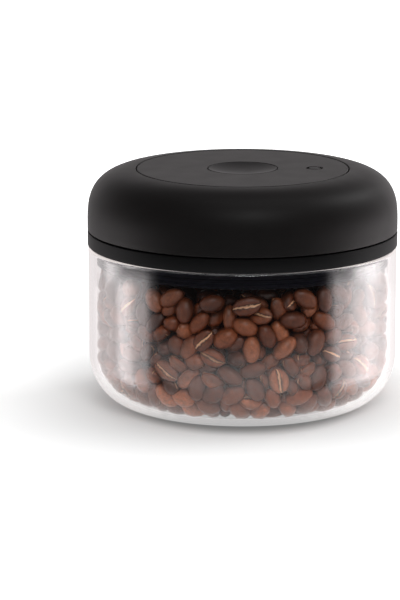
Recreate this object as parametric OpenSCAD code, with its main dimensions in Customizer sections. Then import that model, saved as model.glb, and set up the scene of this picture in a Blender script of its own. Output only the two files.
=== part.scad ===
// Vacuum canister with a glass jar and a twist-to-pump lid.
// Origin: middle of the foot, +Z up, millimetres.
// The lid rests on the jar. Its shell turns on a fixed frame, and two helical slots in the
// shell's cam ring drive two pump pistons up and down in antiphase.

/* [Glass jar] */
// Height of the jar from its foot to its rim
jar_h = 62; // [58:0.5:80]
// Thickness of the glass wall
jar_wall = 2.9; // [2.5:0.1:3.4]
// Thickness of the glass floor
jar_floor = 2.4; // [2:0.1:6]
// How much narrower the jar's radius is at the bottom curve than at the rim
jar_taper = 0.2; // [0:0.1:1]
// Radial reach of the rounded bottom corner, outside
corner_reach = 17.3; // [14:0.1:20]
// Height of the rounded bottom corner, outside
corner_rise = 19.8; // [15:0.1:24]
// Radial reach of the rounded corner inside
corner_in_reach = 15.5; // [12:0.1:18]
// Height of the rounded corner inside
corner_in_rise = 17.4; // [13:0.1:21]
// Width of the ring that the jar stands on
foot_w = 6; // [3:0.5:9]
// Depth of the shallow recess inside that ring
foot_recess = 0.7; // [0.4:0.1:1.2]
// Radius that rounds the rim of the glass
rim_round = 1.1; // [0.6:0.1:1.2]

/* [Lid outside] */
// Diameter of the lid and of its fixed ring
lid_d = 120; // [119:0.5:124]
// Height of the fixed ring under the seam
ring_h = 5.55; // [5:0.05:7]
// Height of the running gap between ring and shell
seam_gap = 0.5; // [0.3:0.05:0.8]
// Height of the shell from its lower edge to the top of its dome
shell_h = 23.7; // [23.5:0.1:26]
// Height of the straight part of the shell's side
shell_straight = 3.2; // [2:0.1:4]
// Radial width of the shell's shoulder, from its side to the opening for the disc
shoulder_w = 18.7; // [18:0.1:19.2]
// How far inside that opening the dome's curve would become level
dome_in = 5.2; // [4:0.1:7]
// Power of the dome's superellipse: 2 is an ellipse, more is squarer
dome_power = 2.94; // [2.7:0.02:3.2]
// Thickness of the shell's wall
shell_wall = 2.6; // [2:0.1:3]

/* [Top disc and button] */
// Width of the ring gap between disc and shell
disc_gap = 0.5; // [0.3:0.05:0.7]
// How far the disc lies below the highest point of the dome
disc_inset = 0.1; // [0.05:0.05:0.8]
// Thickness of the disc's plate
disc_t = 2; // [1.6:0.1:2.4]
// Diameter of the release button
button_d = 26.6; // [24:0.2:27]
// Gap round the button
button_gap = 0.4; // [0.2:0.05:0.5]
// Depth of the dish in the button's face
button_dish = 1.3; // [0.6:0.1:1.6]
// Travel of the button
button_travel = 2; // [1:0.1:2.4]
// Distance of the indicator pin from the disc's edge
indicator_in = 13; // [11:0.1:15]
// Diameter of the indicator pin's face
indicator_d = 4.8; // [3.6:0.1:4.8]
// Width of the ring gap round the indicator pin
indicator_gap = 0.9; // [0.5:0.05:0.9]
// Travel of the indicator pin
indicator_travel = 2; // [1:0.1:2.4]

/* [Pump] */
// Half of the angle that the shell twists through
twist_half = 30; // [20:1:32]
// Half of a piston's stroke
stroke_half = 3; // [2:0.1:3]
// Bore of a pump cylinder
bore_d = 20; // [18:0.2:20.4]
// Wall of a pump cylinder
cyl_wall = 1.6; // [1.2:0.1:1.8]
// Diameter of a follower pin
pin_d = 5; // [4:0.1:5]
// Radial clearance of a piston in its cylinder
piston_clear = 0.1; // [0.05:0.01:0.15]
// Clearance of a follower pin in its slot
slot_clear = 0.16; // [0.1:0.01:0.2]

/* [Springs] */
// Wire diameter of the button's spring
button_wire = 1; // [0.7:0.05:1.1]
// Curls of the button's spring
button_curls = 5; // [4:1:5]
// Wire diameter of the indicator's spring
indicator_wire = 0.5; // [0.4:0.05:0.6]
// Curls of the indicator's spring
indicator_curls = 4; // [3:1:4]

/* [Hidden] */

// Colours
glass_color = [0.85, 0.92, 0.92, 0.4];
black_color = [0.15, 0.15, 0.16];
ring_color = [0.09, 0.09, 0.1];
frame_color = [0.2, 0.2, 0.22];
gasket_color = [0.13, 0.13, 0.15];
acetal_color = [0.9, 0.9, 0.86];
steel_color = [0.75, 0.75, 0.77];
rubber_color = [0.1, 0.1, 0.1];
silicone_color = [0.75, 0.3, 0.2];
felt_color = [0.8, 0.8, 0.76];

// Counts and general clearances
$fn = 96;
curve_steps = 20;
dome_steps = 30;
coil_sides = 6;
coil_rings = 8;
overrun = 1;
fit_gap = 0.02;
slide_gap = 0.1;
soft_gap = 0.3;
corner_round = 0.4;

// Jar
jar_inset = 0.2;
jar_top_r = lid_d / 2 - jar_inset;
jar_low_r = jar_top_r - jar_taper;
jar_in_top_r = jar_top_r - jar_wall;
jar_in_low_r = jar_low_r - jar_wall;
foot_r = jar_low_r - corner_reach;

// Lid base: plug, floor and ring
plug_h = 6.75;
plug_space = 2.4;
plug_wall = 2.1;
floor_up = 2.75;
floor_t = 2;
rim_gap = 0.2;
flange_t = 1;
flange_set = 0.6;
web_t = 1.6;
lip_t = 1.4;
lip_h = 2.2;
plug_r = jar_in_top_r - plug_space;
plug_in_r = plug_r - plug_wall;
plug_z = jar_h - plug_h;
floor_z = plug_z + floor_up;
deck_z = floor_z + floor_t;
ring_r = lid_d / 2;
ring_z = jar_h + rim_gap;
seat_z = jar_h + flange_t;
seat_r = jar_top_r - flange_set;
web_z = seat_z + web_t;
seam_z = ring_z + ring_h;

// Shell
shell_z = seam_z + seam_gap;
shell_r = lid_d / 2;
shell_in_r = shell_r - shell_wall;
dome_z = shell_z + shell_straight;
dome_rise = shell_h - shell_straight;
lip_side = 0.4;
lip_out_r = shell_in_r - lip_side;
lip_in_r = lip_out_r - lip_t;
lip_z = seam_z + lip_h;
collar_in_r = shell_r - shoulder_w;
dome_r = collar_in_r - dome_in;
dome_reach = shell_r - dome_r;
collar_w = 3.6;
collar_out_r = collar_in_r + collar_w;

// Frame: disc, chassis and glide ring, from the top down
disc_r = collar_in_r - disc_gap;
indicator_r = disc_r - indicator_in;
disc_top_z = shell_z + shell_h - disc_inset;
disc_z = disc_top_z - disc_t;
disc_rim_t = 2;
disc_rim_h = 2.8;
frame_top_z = disc_z - disc_rim_h;
frame_t = 1.8;
glide_t = 0.8;
glide_side = 0.2;
collar_z = frame_top_z + glide_t;
frame_z = frame_top_z - frame_t;
frame_wall = 2.2;
frame_out_r = disc_r - glide_side;
frame_in_r = frame_out_r - frame_wall;
frame_flange_r = collar_out_r - glide_side;

// Cam ring
cam_side = 1.2;
cam_top_gap = 0.2;
cam_wall = 3.5;
cam_band = 2.3;
cam_in_r = collar_in_r + cam_side;
cam_out_r = cam_in_r + cam_wall;
cam_top_z = frame_z - cam_top_gap;
pin_r = pin_d / 2;
shank_r = pin_r / 2;
cam_slope = stroke_half / twist_half;
cam_lean = atan(stroke_half / (twist_half * PI / 180 * cam_in_r));
slot_half = pin_r / cos(cam_lean) + slot_clear;
slot_end = asin((pin_r + slot_clear) / cam_in_r);
slot_rise = stroke_half + cam_slope * slot_end;
follower_z = cam_top_z - cam_band - slot_half - slot_rise;
cam_z = follower_z - slot_rise - slot_half - cam_band;
slot_steps = 24;
ear_t = 1.8;
ear_r = 3.2;
ear_out = 2.6;
ear_circle_r = cam_out_r + ear_out;

// Screws
screw_r = 1.1;
screw_head_r = 2.1;
screw_head_h = 1.3;
screw_hex_r = 0.9;
screw_hex_h = 0.8;
screw_tip_gap = 0.5;
boss_r = 2.6;

// Pump
bore_r = bore_d / 2;
cyl_out_r = bore_r + cyl_wall;
cyl_side = 0.3;
pump_r = frame_in_r - cyl_side - cyl_out_r;
arm_w = 6;
arm_h = pin_d;
arm_slot_side = 0.2;
arm_reach = 0.8;
arm_end_r = frame_out_r + arm_reach / 2;
piston_r = bore_r - piston_clear;
piston_drop = 1.2;
piston_z = deck_z + piston_drop + stroke_half;
crown_t = 2;
piston_skirt = 1.8;
ring_section_r = 0.85;
ring_seat = 0.05;
ring_r_out = bore_r - soft_gap + ring_seat;
ring_mid_r = ring_r_out - ring_section_r;
groove_r = ring_mid_r - ring_section_r - ring_seat;
groove_side = 0.1;
groove_up = 1.6;
piston_land = 0.8;
groove_z = piston_z + groove_up;
groove_top_z = groove_z + ring_section_r + groove_side;
piston_top_z = groove_top_z + piston_land;
skirt_in_r = groove_r - piston_skirt / 2;
cyl_rim_z = follower_z - stroke_half - pin_r - cyl_side;
arm_slot_h = 2 * (stroke_half + pin_r + cyl_side);
rod_in_share = 0.25;
rod_out_share = 0.78;
rod_in = piston_r * rod_in_share;
rod_out = piston_r * rod_out_share;
arm_len = arm_end_r - pump_r - rod_in;

// Umbrella valves
valve_t = 0.8;
valve_r = 4.4;
valve_flat_share = 0.4;
valve_edge_share = 0.25;
valve_stem_r = 1.3;
valve_bulb_r = 1.9;
valve_bulb_h = 0.9;
port_r = 0.8;
port_circle_r = 2.8;
port_count = 6;
exhaust_in = valve_r + soft_gap - skirt_in_r;
exhaust_plate_t = crown_t - valve_bulb_h;
exhaust_recess_r = valve_r - soft_gap;

// Button and release valve
button_r = button_d / 2;
well_r = button_r + button_gap;
well_wall = 1.5;
button_skirt = 1.5;
button_plate = 1.9;
button_edge_gap = 0.05;
button_depth = 11;
button_boss_r = 3.6;
button_boss_h = 4;
well_floor_t = 1.5;
stem_r = 2;
stem_in = 3;
button_top_z = disc_top_z - button_edge_gap;
button_under_z = button_top_z - button_dish - button_plate;
button_skirt_z = button_top_z - button_depth;
well_floor_z = button_skirt_z - button_travel - corner_round - well_floor_t;
well_floor_top = well_floor_z + well_floor_t;
spring_mid_r = 7.6;
valve_port_r = 3.4;
seal_out_r = 5.3;
seal_t = 1;
head_r = 5.6;
head_t = 1.3;

// Indicator
ind_r = indicator_d / 2;
ind_hole_r = ind_r + indicator_gap;
ind_foot_r = 4.4;
ind_foot_h = 3;
ind_bore_r = ind_foot_r + slide_gap;
ind_tube_wall = 1.4;
ind_tube_r = ind_bore_r + ind_tube_wall;
ind_spring_low = 3.5;
ind_spring_h = ind_spring_low + indicator_travel;
ind_foot_z = deck_z + ind_spring_h;
ind_top_gap = 0.3;
ind_tube_z = ind_foot_z + ind_foot_h + ind_top_gap;
ind_cap_t = 1.4;
ind_cap_skirt = 2;
ind_cap_wall = 1;
ind_section_r = 0.6;
ind_ring_out = ind_bore_r - slide_gap - ring_seat;
ind_ring_mid = ind_ring_out - ind_section_r;
ind_groove_r = ind_ring_mid - ind_section_r - ring_seat;
ind_spring_r = 3;
ind_spring_seat = 0.3;
ind_port_r = 0.8;

// Cover and filters
cover_up = 0.2;
cover_t = 1;
cover_rim_t = 1.6;
cover_side = 0.2;
cover_hole_r = 8.6;
cover_z = plug_z + cover_up;
filter_r = 6.5;
filter_t = 0.5;
grille_hole_r = 0.9;
grille_pitch = 2.6;
grille_count = 6;

// Gasket
gasket_wall = 1.2;
gasket_up = 0.5;
gasket_lips = 3;
lip_start_share = 0.55;
lip_end_share = 0.7;
lip_foot_share = 0.75;

screw_angles = [45, 135, 225, 315];
disc_screw_angles = [60, 180, 300];
frame_boss_gap = 0.4;
frame_boss_r = frame_in_r - boss_r - frame_boss_gap;
disc_boss_gap = 2.4;
disc_boss_circle_r = well_r + well_wall + boss_r + disc_boss_gap;
frame_boss_h = 11;

// Quarter of an ellipse about (r, z), from its low point to its outermost point
function corner(r, z, a, b) =
    [for (i = [0:curve_steps]) let (t = 90 * i / curve_steps) [r + a * sin(t), z - b * cos(t)]];

// Superellipse dome about (r, z), from its side towards its level top, as far as radius stop
function dome(r, z, a, b, stop) =
    let (last = acos(pow((stop - r) / a, dome_power / 2)))
    [for (i = [0:dome_steps]) let (t = last * i / dome_steps)
        [r + a * pow(cos(t), 2 / dome_power), z + b * pow(sin(t), 2 / dome_power)]];

function flip(points) = [for (i = [len(points) - 1:-1:0]) points[i]];

// Closed strip of faces round rings of equal size, with fan caps
function tube_faces(rings, sides) = concat(
    [for (i = [0:rings - 2], j = [0:sides - 1], k = [0, 1])
        let (a = i * sides + j, b = i * sides + (j + 1) % sides)
        k == 0 ? [a, b, b + sides] : [a, b + sides, a + sides]],
    [for (j = [1:sides - 2]) [0, j + 1, j]],
    [for (j = [1:sides - 2]) let (e = (rings - 1) * sides) [e, e + j, e + j + 1]]
);

// Rings of points of a coil that fills the height h
function coil_points(r, wire, h, curls) =
    [for (i = [0:curls * coil_rings], j = [0:coil_sides - 1])
        let (
            turn = 360 * i / coil_rings,
            side = 360 * j / coil_sides,
            out = r + wire / 2 * cos(side),
            up = wire / 2 + (h - wire) * i / (curls * coil_rings) + wire / 2 * sin(side)
        )
        [out * cos(turn), out * sin(turn), up]];

// Least distance between points of the coil that lie one curl apart
function coil_gap(r, wire, h, curls) =
    let (p = coil_points(r, wire, h, curls), step = coil_rings * coil_sides)
    min([for (i = [0:coil_sides - 1], j = [0:coil_sides - 1]) norm(p[i] - p[step + j])]);

module coil(r, wire, h, curls) {
    polyhedron(
        points = coil_points(r, wire, h, curls),
        faces = tube_faces(curls * coil_rings + 1, coil_sides)
    );
}

// Helical slot through the cam ring, centred on an angle, rising with the given sign
module cam_slot(middle, sign) {
    half = twist_half + slot_end;
    points = [for (i = [0:slot_steps])
        let (a = half * (2 * i / slot_steps - 1), z = follower_z + sign * cam_slope * a)
        each [for (c = [[0, -1], [1, -1], [1, 1], [0, 1]])
            let (r = c[0] == 0 ? cam_in_r - overrun : cam_out_r + overrun)
            [r * cos(middle + a), r * sin(middle + a), z + c[1] * slot_half]]];
    polyhedron(points = points, faces = tube_faces(slot_steps + 1, 4));
}

module ring(r_in, r_out, z, h) {
    translate([0, 0, z])
        difference() {
            cylinder(r = r_out, h = h);
            translate([0, 0, -overrun]) cylinder(r = r_in, h = h + 2 * overrun);
        }
}

module hole(r, z, top) {
    translate([0, 0, z - overrun]) cylinder(r = r, h = top - z + 2 * overrun);
}

// Pan head screw pointing up, its head's top face at z
module screw(z, length) {
    difference() {
        union() {
            translate([0, 0, z - screw_head_h]) cylinder(r = screw_head_r, h = screw_head_h);
            translate([0, 0, z - screw_head_h / 2]) cylinder(r = screw_r, h = length + screw_head_h / 2);
        }
        translate([0, 0, z - screw_head_h - overrun])
            cylinder(r = screw_hex_r, h = screw_hex_h + overrun, $fn = 6);
    }
}

module around(angles, r) {
    for (a = angles) rotate([0, 0, a]) translate([r, 0, 0]) children();
}

module ports(r) {
    around([for (i = [0:port_count - 1]) 360 * i / port_count], port_circle_r) children();
}

module o_ring(mid_r, section_r) {
    rotate_extrude() translate([mid_r, 0]) circle(r = section_r, $fn = 24);
}

// Umbrella valve with its disc on the plane z and its stem down through a plate
module umbrella(z, plate_t) {
    below = plate_t + fit_gap;
    rotate_extrude() polygon([
        [0, z + valve_t],
        [valve_r * valve_flat_share, z + valve_t],
        [valve_r, z + valve_t * valve_edge_share],
        [valve_r, z],
        [valve_stem_r, z],
        [valve_stem_r, z - below],
        [valve_bulb_r, z - below],
        [valve_stem_r, z - below - valve_bulb_h],
        [0, z - below - valve_bulb_h]
    ]);
}

module valve_holes(z, plate_t) {
    hole(valve_stem_r + fit_gap, z - plate_t, z);
    ports() hole(port_r, z - plate_t, z);
}

module glass_jar() {
    outer = corner(foot_r, corner_rise, corner_reach, corner_rise);
    inner = corner(jar_in_low_r - corner_in_reach, jar_floor + corner_in_rise,
        corner_in_reach, corner_in_rise);
    rim_out = [for (a = [0:15:90])
        [jar_top_r - rim_round * (1 - cos(a)), jar_h - rim_round * (1 - sin(a))]];
    rim_in = [for (a = [90:-15:0])
        [jar_in_top_r + rim_round * (1 - cos(a)), jar_h - rim_round * (1 - sin(a))]];
    color(glass_color)
        rotate_extrude() polygon(concat(
            [[0, foot_recess], [foot_r - foot_w - foot_recess, foot_recess], [foot_r - foot_w, 0]],
            outer, rim_out, rim_in, flip(inner), [[0, jar_floor]]
        ));
}

module lid_base_body() {
    rotate_extrude() polygon([
        [0, floor_z],
        [plug_in_r, floor_z],
        [plug_in_r, plug_z],
        [plug_r - corner_round, plug_z],
        [plug_r, plug_z + corner_round],
        [plug_r, seat_z],
        [seat_r, seat_z],
        [seat_r, ring_z],
        [ring_r - corner_round, ring_z],
        [ring_r, ring_z + corner_round],
        [ring_r, seam_z - corner_round / 2],
        [ring_r - corner_round / 2, seam_z],
        [lip_out_r, seam_z],
        [lip_out_r, lip_z],
        [lip_in_r, lip_z],
        [lip_in_r, web_z],
        [plug_in_r, web_z],
        [plug_in_r, deck_z],
        [0, deck_z]
    ]);
}

module lid_base() {
    color(ring_color)
        difference() {
            union() {
                lid_base_body();
                for (side = [-1, 1])
                    translate([0, side * pump_r, 0])
                        ring(bore_r, cyl_out_r, deck_z, cyl_rim_z - deck_z);
                translate([indicator_r, 0, 0]) ring(ind_bore_r, ind_tube_r, deck_z, ind_tube_z - deck_z);
            }
            for (side = [-1, 1])
                translate([0, side * pump_r, 0]) valve_holes(deck_z, floor_t);
            hole(valve_port_r, floor_z, deck_z);
            translate([indicator_r, 0, 0]) hole(ind_port_r, floor_z, deck_z);
            around(screw_angles, frame_boss_r) hole(screw_r + fit_gap, floor_z, deck_z);
        }
}

module lid_gasket() {
    z0 = plug_z + gasket_up;
    out_r = plug_r + gasket_wall;
    tip_r = jar_in_low_r - soft_gap;
    pitch = (jar_h - rim_round - z0) / gasket_lips;
    lips = [for (i = [0:gasket_lips - 1])
        let (z = z0 + pitch * i)
        each [[out_r, z], [tip_r, z + pitch * lip_start_share], [tip_r, z + pitch * lip_end_share],
            [out_r, z + pitch * lip_foot_share]]];
    color(gasket_color)
        rotate_extrude() polygon(concat(
            [[plug_r, z0]], lips,
            [[out_r, jar_h], [seat_r, jar_h], [seat_r, seat_z], [plug_r, seat_z]]
        ));
}

module chassis() {
    color(frame_color)
        difference() {
            union() {
                ring(frame_in_r, frame_out_r, deck_z, frame_z - deck_z + frame_t / 2);
                translate([0, 0, frame_z]) cylinder(r = frame_flange_r, h = frame_t);
                translate([0, 0, well_floor_z])
                    cylinder(r = well_r + well_wall, h = frame_z - well_floor_z + frame_t / 2);
                around(screw_angles, frame_boss_r) {
                    translate([0, 0, deck_z]) cylinder(r = boss_r, h = frame_boss_h);
                    translate([0, -boss_r / 2, deck_z])
                        cube([frame_in_r - frame_boss_r + frame_wall / 2, boss_r, frame_boss_h]);
                }
            }
            hole(well_r, well_floor_top + overrun, frame_top_z);
            hole(stem_r + slide_gap, well_floor_z, well_floor_top);
            for (turn = [0, 180])
                rotate([0, 0, turn])
                    translate([-arm_w / 2 - arm_slot_side, frame_in_r - overrun, cyl_rim_z])
                        cube([arm_w + 2 * arm_slot_side, frame_wall + 2 * overrun, arm_slot_h]);
            around(screw_angles, frame_boss_r)
                translate([0, 0, deck_z - overrun])
                    cylinder(r = screw_r + fit_gap, h = frame_boss_h);
            translate([indicator_r, 0, 0]) hole(ind_r + slide_gap, frame_z, frame_top_z);
            around(disc_screw_angles, disc_boss_circle_r) hole(screw_r + fit_gap, frame_z, frame_top_z);
        }
}

module frame_screws() {
    color(steel_color)
        around(screw_angles, frame_boss_r)
            screw(floor_z, floor_t + frame_boss_h - overrun - screw_tip_gap);
}

module top_disc() {
    color(black_color)
        difference() {
            union() {
                rotate_extrude() polygon([
                    [well_r + corner_round / 2, disc_top_z],
                    [disc_r - corner_round / 2, disc_top_z],
                    [disc_r, disc_top_z - corner_round / 2],
                    [disc_r, frame_top_z],
                    [disc_r - disc_rim_t, frame_top_z],
                    [disc_r - disc_rim_t, disc_z],
                    [well_r + well_wall, disc_z],
                    [well_r + well_wall, frame_top_z],
                    [well_r, frame_top_z],
                    [well_r, disc_top_z - corner_round / 2]
                ]);
                around(disc_screw_angles, disc_boss_circle_r)
                    translate([0, 0, frame_top_z]) cylinder(r = boss_r, h = disc_rim_h + disc_t / 2);
            }
            translate([indicator_r, 0, 0]) hole(ind_hole_r, disc_z, disc_top_z);
            around(disc_screw_angles, disc_boss_circle_r)
                translate([0, 0, frame_top_z - overrun])
                    cylinder(r = screw_r + fit_gap, h = disc_rim_h + overrun);
        }
}

module disc_screws() {
    color(steel_color)
        around(disc_screw_angles, disc_boss_circle_r)
            screw(frame_z, frame_t + disc_rim_h - screw_tip_gap);
}

module glide_ring() {
    color(acetal_color) ring(collar_in_r, frame_flange_r, frame_top_z, glide_t);
}

module twist_shell() {
    outer = dome(dome_r, dome_z, dome_reach, dome_rise, collar_in_r + corner_round);
    inner = dome(dome_r, dome_z, dome_reach - shell_wall, dome_rise - shell_wall, collar_out_r);
    boss_top = outer[dome_steps][1] - shell_wall - corner_round;
    color(black_color)
        difference() {
            union() {
                rotate_extrude() polygon(concat(
                    [[shell_r - corner_round / 2, shell_z], [shell_r, shell_z + corner_round / 2]],
                    outer,
                    [[collar_in_r, outer[dome_steps][1] - corner_round], [collar_in_r, collar_z],
                        [collar_out_r, collar_z]],
                    flip(inner),
                    [[shell_in_r, shell_z]]
                ));
                around(screw_angles, ear_circle_r)
                    translate([0, 0, cam_top_z]) cylinder(r = boss_r, h = boss_top - cam_top_z);
            }
            around(screw_angles, ear_circle_r)
                translate([0, 0, cam_top_z - overrun])
                    cylinder(r = screw_r + fit_gap, h = boss_top - cam_top_z);
        }
}

module cam_ring() {
    color(acetal_color)
        difference() {
            union() {
                ring(cam_in_r, cam_out_r, cam_z, cam_top_z - cam_z);
                around(screw_angles, ear_circle_r)
                    translate([0, 0, cam_top_z - ear_t]) cylinder(r = ear_r, h = ear_t);
            }
            hole(cam_in_r, cam_z, cam_top_z);
            cam_slot(270, -1);
            cam_slot(90, 1);
            around(screw_angles, ear_circle_r) hole(screw_r + fit_gap, cam_top_z - ear_t, cam_top_z);
        }
}

module cam_screws() {
    color(steel_color)
        around(screw_angles, ear_circle_r) screw(cam_top_z - ear_t, ear_t + boss_r);
}

// One piston, drawn at the back, with its arm reaching outward along +Y
module piston() {
    translate([0, pump_r, 0])
        difference() {
            union() {
                rotate_extrude() polygon([
                    [0, piston_z],
                    [piston_r, piston_z],
                    [piston_r, groove_z - ring_section_r - groove_side],
                    [groove_r, groove_z - ring_section_r - groove_side],
                    [groove_r, groove_top_z],
                    [piston_r, groove_top_z],
                    [piston_r, piston_top_z],
                    [skirt_in_r, piston_top_z],
                    [skirt_in_r, piston_z + crown_t],
                    [0, piston_z + crown_t]
                ]);
                translate([-arm_w / 2, rod_in, piston_z + crown_t / 2])
                    cube([arm_w, skirt_in_r - rod_in + fit_gap, piston_top_z - piston_z - crown_t / 2]);
                translate([-arm_w / 2, rod_in, groove_top_z])
                    cube([arm_w, rod_out - rod_in, follower_z + arm_h / 2 - groove_top_z]);
                translate([-arm_w / 2, rod_in, follower_z - arm_h / 2])
                    cube([arm_w, arm_len, arm_h]);
            }
            translate([0, exhaust_in, 0]) {
                valve_holes(piston_z + crown_t, exhaust_plate_t);
                translate([0, 0, piston_z - overrun])
                    cylinder(r = exhaust_recess_r, h = crown_t - exhaust_plate_t + overrun);
            }
            translate([0, rod_in - overrun, follower_z]) rotate([-90, 0, 0])
                cylinder(r = shank_r + fit_gap, h = arm_len + 2 * overrun);
        }
}

// Follower pin: a thick head that runs in the cam slot, and a shank in the piston's arm
module follower_pin() {
    translate([0, arm_end_r, follower_z]) rotate([-90, 0, 0]) {
        cylinder(r = pin_r, h = cam_out_r - arm_end_r);
        translate([0, 0, -arm_len]) cylinder(r = shank_r, h = arm_len + overrun);
    }
}

module piston_front() {
    color(acetal_color) rotate([0, 0, 180]) piston();
}

module piston_back() {
    color(acetal_color) piston();
}

module piston_seal() {
    translate([0, pump_r, groove_z]) o_ring(ring_mid_r, ring_section_r);
}

module piston_seal_front() {
    color(rubber_color) rotate([0, 0, 180]) piston_seal();
}

module piston_seal_back() {
    color(rubber_color) piston_seal();
}

module follower_pin_front() {
    color(steel_color) rotate([0, 0, 180]) follower_pin();
}

module follower_pin_back() {
    color(steel_color) follower_pin();
}

module intake_valve(side) {
    color(silicone_color) translate([0, side * pump_r, 0]) umbrella(deck_z, floor_t);
}

module intake_valve_front() {
    intake_valve(-1);
}

module intake_valve_back() {
    intake_valve(1);
}

module exhaust_valve(side) {
    color(silicone_color)
        translate([0, side * (pump_r + exhaust_in), 0]) umbrella(piston_z + crown_t, exhaust_plate_t);
}

module exhaust_valve_front() {
    exhaust_valve(-1);
}

module exhaust_valve_back() {
    exhaust_valve(1);
}

module release_button() {
    edge_r = button_r - corner_round / 2;
    dish = [for (i = [0:curve_steps])
        let (x = i / curve_steps) [edge_r * x, button_top_z - button_dish * (1 - x * x)]];
    color(black_color)
        rotate_extrude() polygon(concat(
            dish,
            [
                [button_r, button_top_z - corner_round / 2],
                [button_r, button_skirt_z],
                [button_r - button_skirt, button_skirt_z],
                [button_r - button_skirt, button_under_z],
                [button_boss_r, button_under_z],
                [button_boss_r, button_under_z - button_boss_h],
                [stem_r + fit_gap, button_under_z - button_boss_h],
                [stem_r + fit_gap, button_under_z - button_boss_h + stem_in],
                [0, button_under_z - button_boss_h + stem_in]
            ]
        ));
}

module release_stem() {
    low = floor_z - seal_t;
    top = button_under_z - button_boss_h + stem_in;
    color(acetal_color)
        rotate_extrude() polygon([
            [0, low - head_t],
            [head_r - corner_round, low - head_t],
            [head_r, low - head_t + corner_round],
            [head_r, low],
            [stem_r, low],
            [stem_r, top],
            [0, top]
        ]);
}

module release_seal() {
    color(silicone_color) ring(stem_r, seal_out_r, floor_z - seal_t, seal_t);
}

module button_spring() {
    color(steel_color)
        translate([0, 0, well_floor_top])
            coil(spring_mid_r, button_wire, button_under_z - well_floor_top, button_curls);
}

module indicator_pin() {
    color(black_color)
        translate([indicator_r, 0, 0])
            difference() {
                rotate_extrude() polygon([
                    [0, ind_foot_z],
                    [ind_foot_r, ind_foot_z],
                    [ind_foot_r, ind_foot_z + ind_foot_h / 2 - ind_section_r - groove_side],
                    [ind_groove_r, ind_foot_z + ind_foot_h / 2 - ind_section_r - groove_side],
                    [ind_groove_r, ind_foot_z + ind_foot_h / 2 + ind_section_r + groove_side],
                    [ind_foot_r, ind_foot_z + ind_foot_h / 2 + ind_section_r + groove_side],
                    [ind_foot_r, ind_foot_z + ind_foot_h],
                    [ind_r, ind_foot_z + ind_foot_h],
                    [ind_r, disc_top_z - corner_round / 2],
                    [ind_r - corner_round / 2, disc_top_z],
                    [0, disc_top_z]
                ]);
                translate([0, 0, ind_foot_z - overrun])
                    ring(ind_spring_r - ind_section_r, ind_spring_r + ind_section_r, 0,
                        overrun + ind_spring_seat);
            }
}

module indicator_seal() {
    color(rubber_color)
        translate([indicator_r, 0, ind_foot_z + ind_foot_h / 2]) o_ring(ind_ring_mid, ind_section_r);
}

module indicator_spring() {
    color(steel_color)
        translate([indicator_r, 0, deck_z])
            coil(ind_spring_r, indicator_wire, ind_spring_h + ind_spring_seat, indicator_curls);
}

module indicator_cap() {
    color(acetal_color)
        translate([indicator_r, 0, 0]) {
            ring(ind_r + slide_gap, ind_tube_r + ind_cap_wall, ind_tube_z, ind_cap_t);
            ring(ind_tube_r + fit_gap, ind_tube_r + ind_cap_wall, ind_tube_z - ind_cap_skirt,
                ind_cap_skirt + ind_cap_t / 2);
        }
}

module underside_cover() {
    color(ring_color)
        difference() {
            rotate_extrude() polygon([
                [cover_hole_r, cover_z],
                [plug_in_r - cover_side, cover_z],
                [plug_in_r - cover_side, floor_z],
                [plug_in_r - cover_side - cover_rim_t, floor_z],
                [plug_in_r - cover_side - cover_rim_t, cover_z + cover_t],
                [cover_hole_r + cover_rim_t, cover_z + cover_t],
                [cover_hole_r + cover_rim_t, floor_z],
                [cover_hole_r, floor_z]
            ]);
            for (side = [-1, 1])
                translate([0, side * pump_r, 0]) {
                    hole(grille_hole_r, cover_z, cover_z + cover_t);
                    around([for (i = [0:grille_count - 1]) 360 * i / grille_count], grille_pitch)
                        hole(grille_hole_r, cover_z, cover_z + cover_t);
                }
        }
}

module intake_filters() {
    color(felt_color)
        for (side = [-1, 1])
            translate([0, side * pump_r, cover_z + cover_t]) cylinder(r = filter_r, h = filter_t);
}

echo("button spring gap", coil_gap(spring_mid_r, button_wire, button_under_z - well_floor_top, button_curls));
echo("indicator spring gap", coil_gap(ind_spring_r, indicator_wire, ind_spring_h, indicator_curls));

glass_jar();
lid_base();
lid_gasket();
chassis();
frame_screws();
top_disc();
disc_screws();
glide_ring();
twist_shell();
cam_ring();
cam_screws();
piston_front();
piston_back();
piston_seal_front();
piston_seal_back();
follower_pin_front();
follower_pin_back();
intake_valve_front();
intake_valve_back();
exhaust_valve_front();
exhaust_valve_back();
release_button();
release_stem();
release_seal();
button_spring();
indicator_pin();
indicator_seal();
indicator_spring();
indicator_cap();
underside_cover();
intake_filters();
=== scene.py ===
"""A vacuum canister: a thick glass jar full of coffee beans under a black twist-to-pump lid.

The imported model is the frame. This script replaces the turned outer pieces by smooth surfaces of
revolution, fills the jar with beans that settle against each other, gives every other piece a
procedural finish, and sets up a pale studio with the camera of the reference photograph.
Sizes are written in millimetres and turned to metres once, where a mesh is made.
"""

from __future__ import annotations

import logging
import math
from dataclasses import dataclass
from enum import Enum

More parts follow.
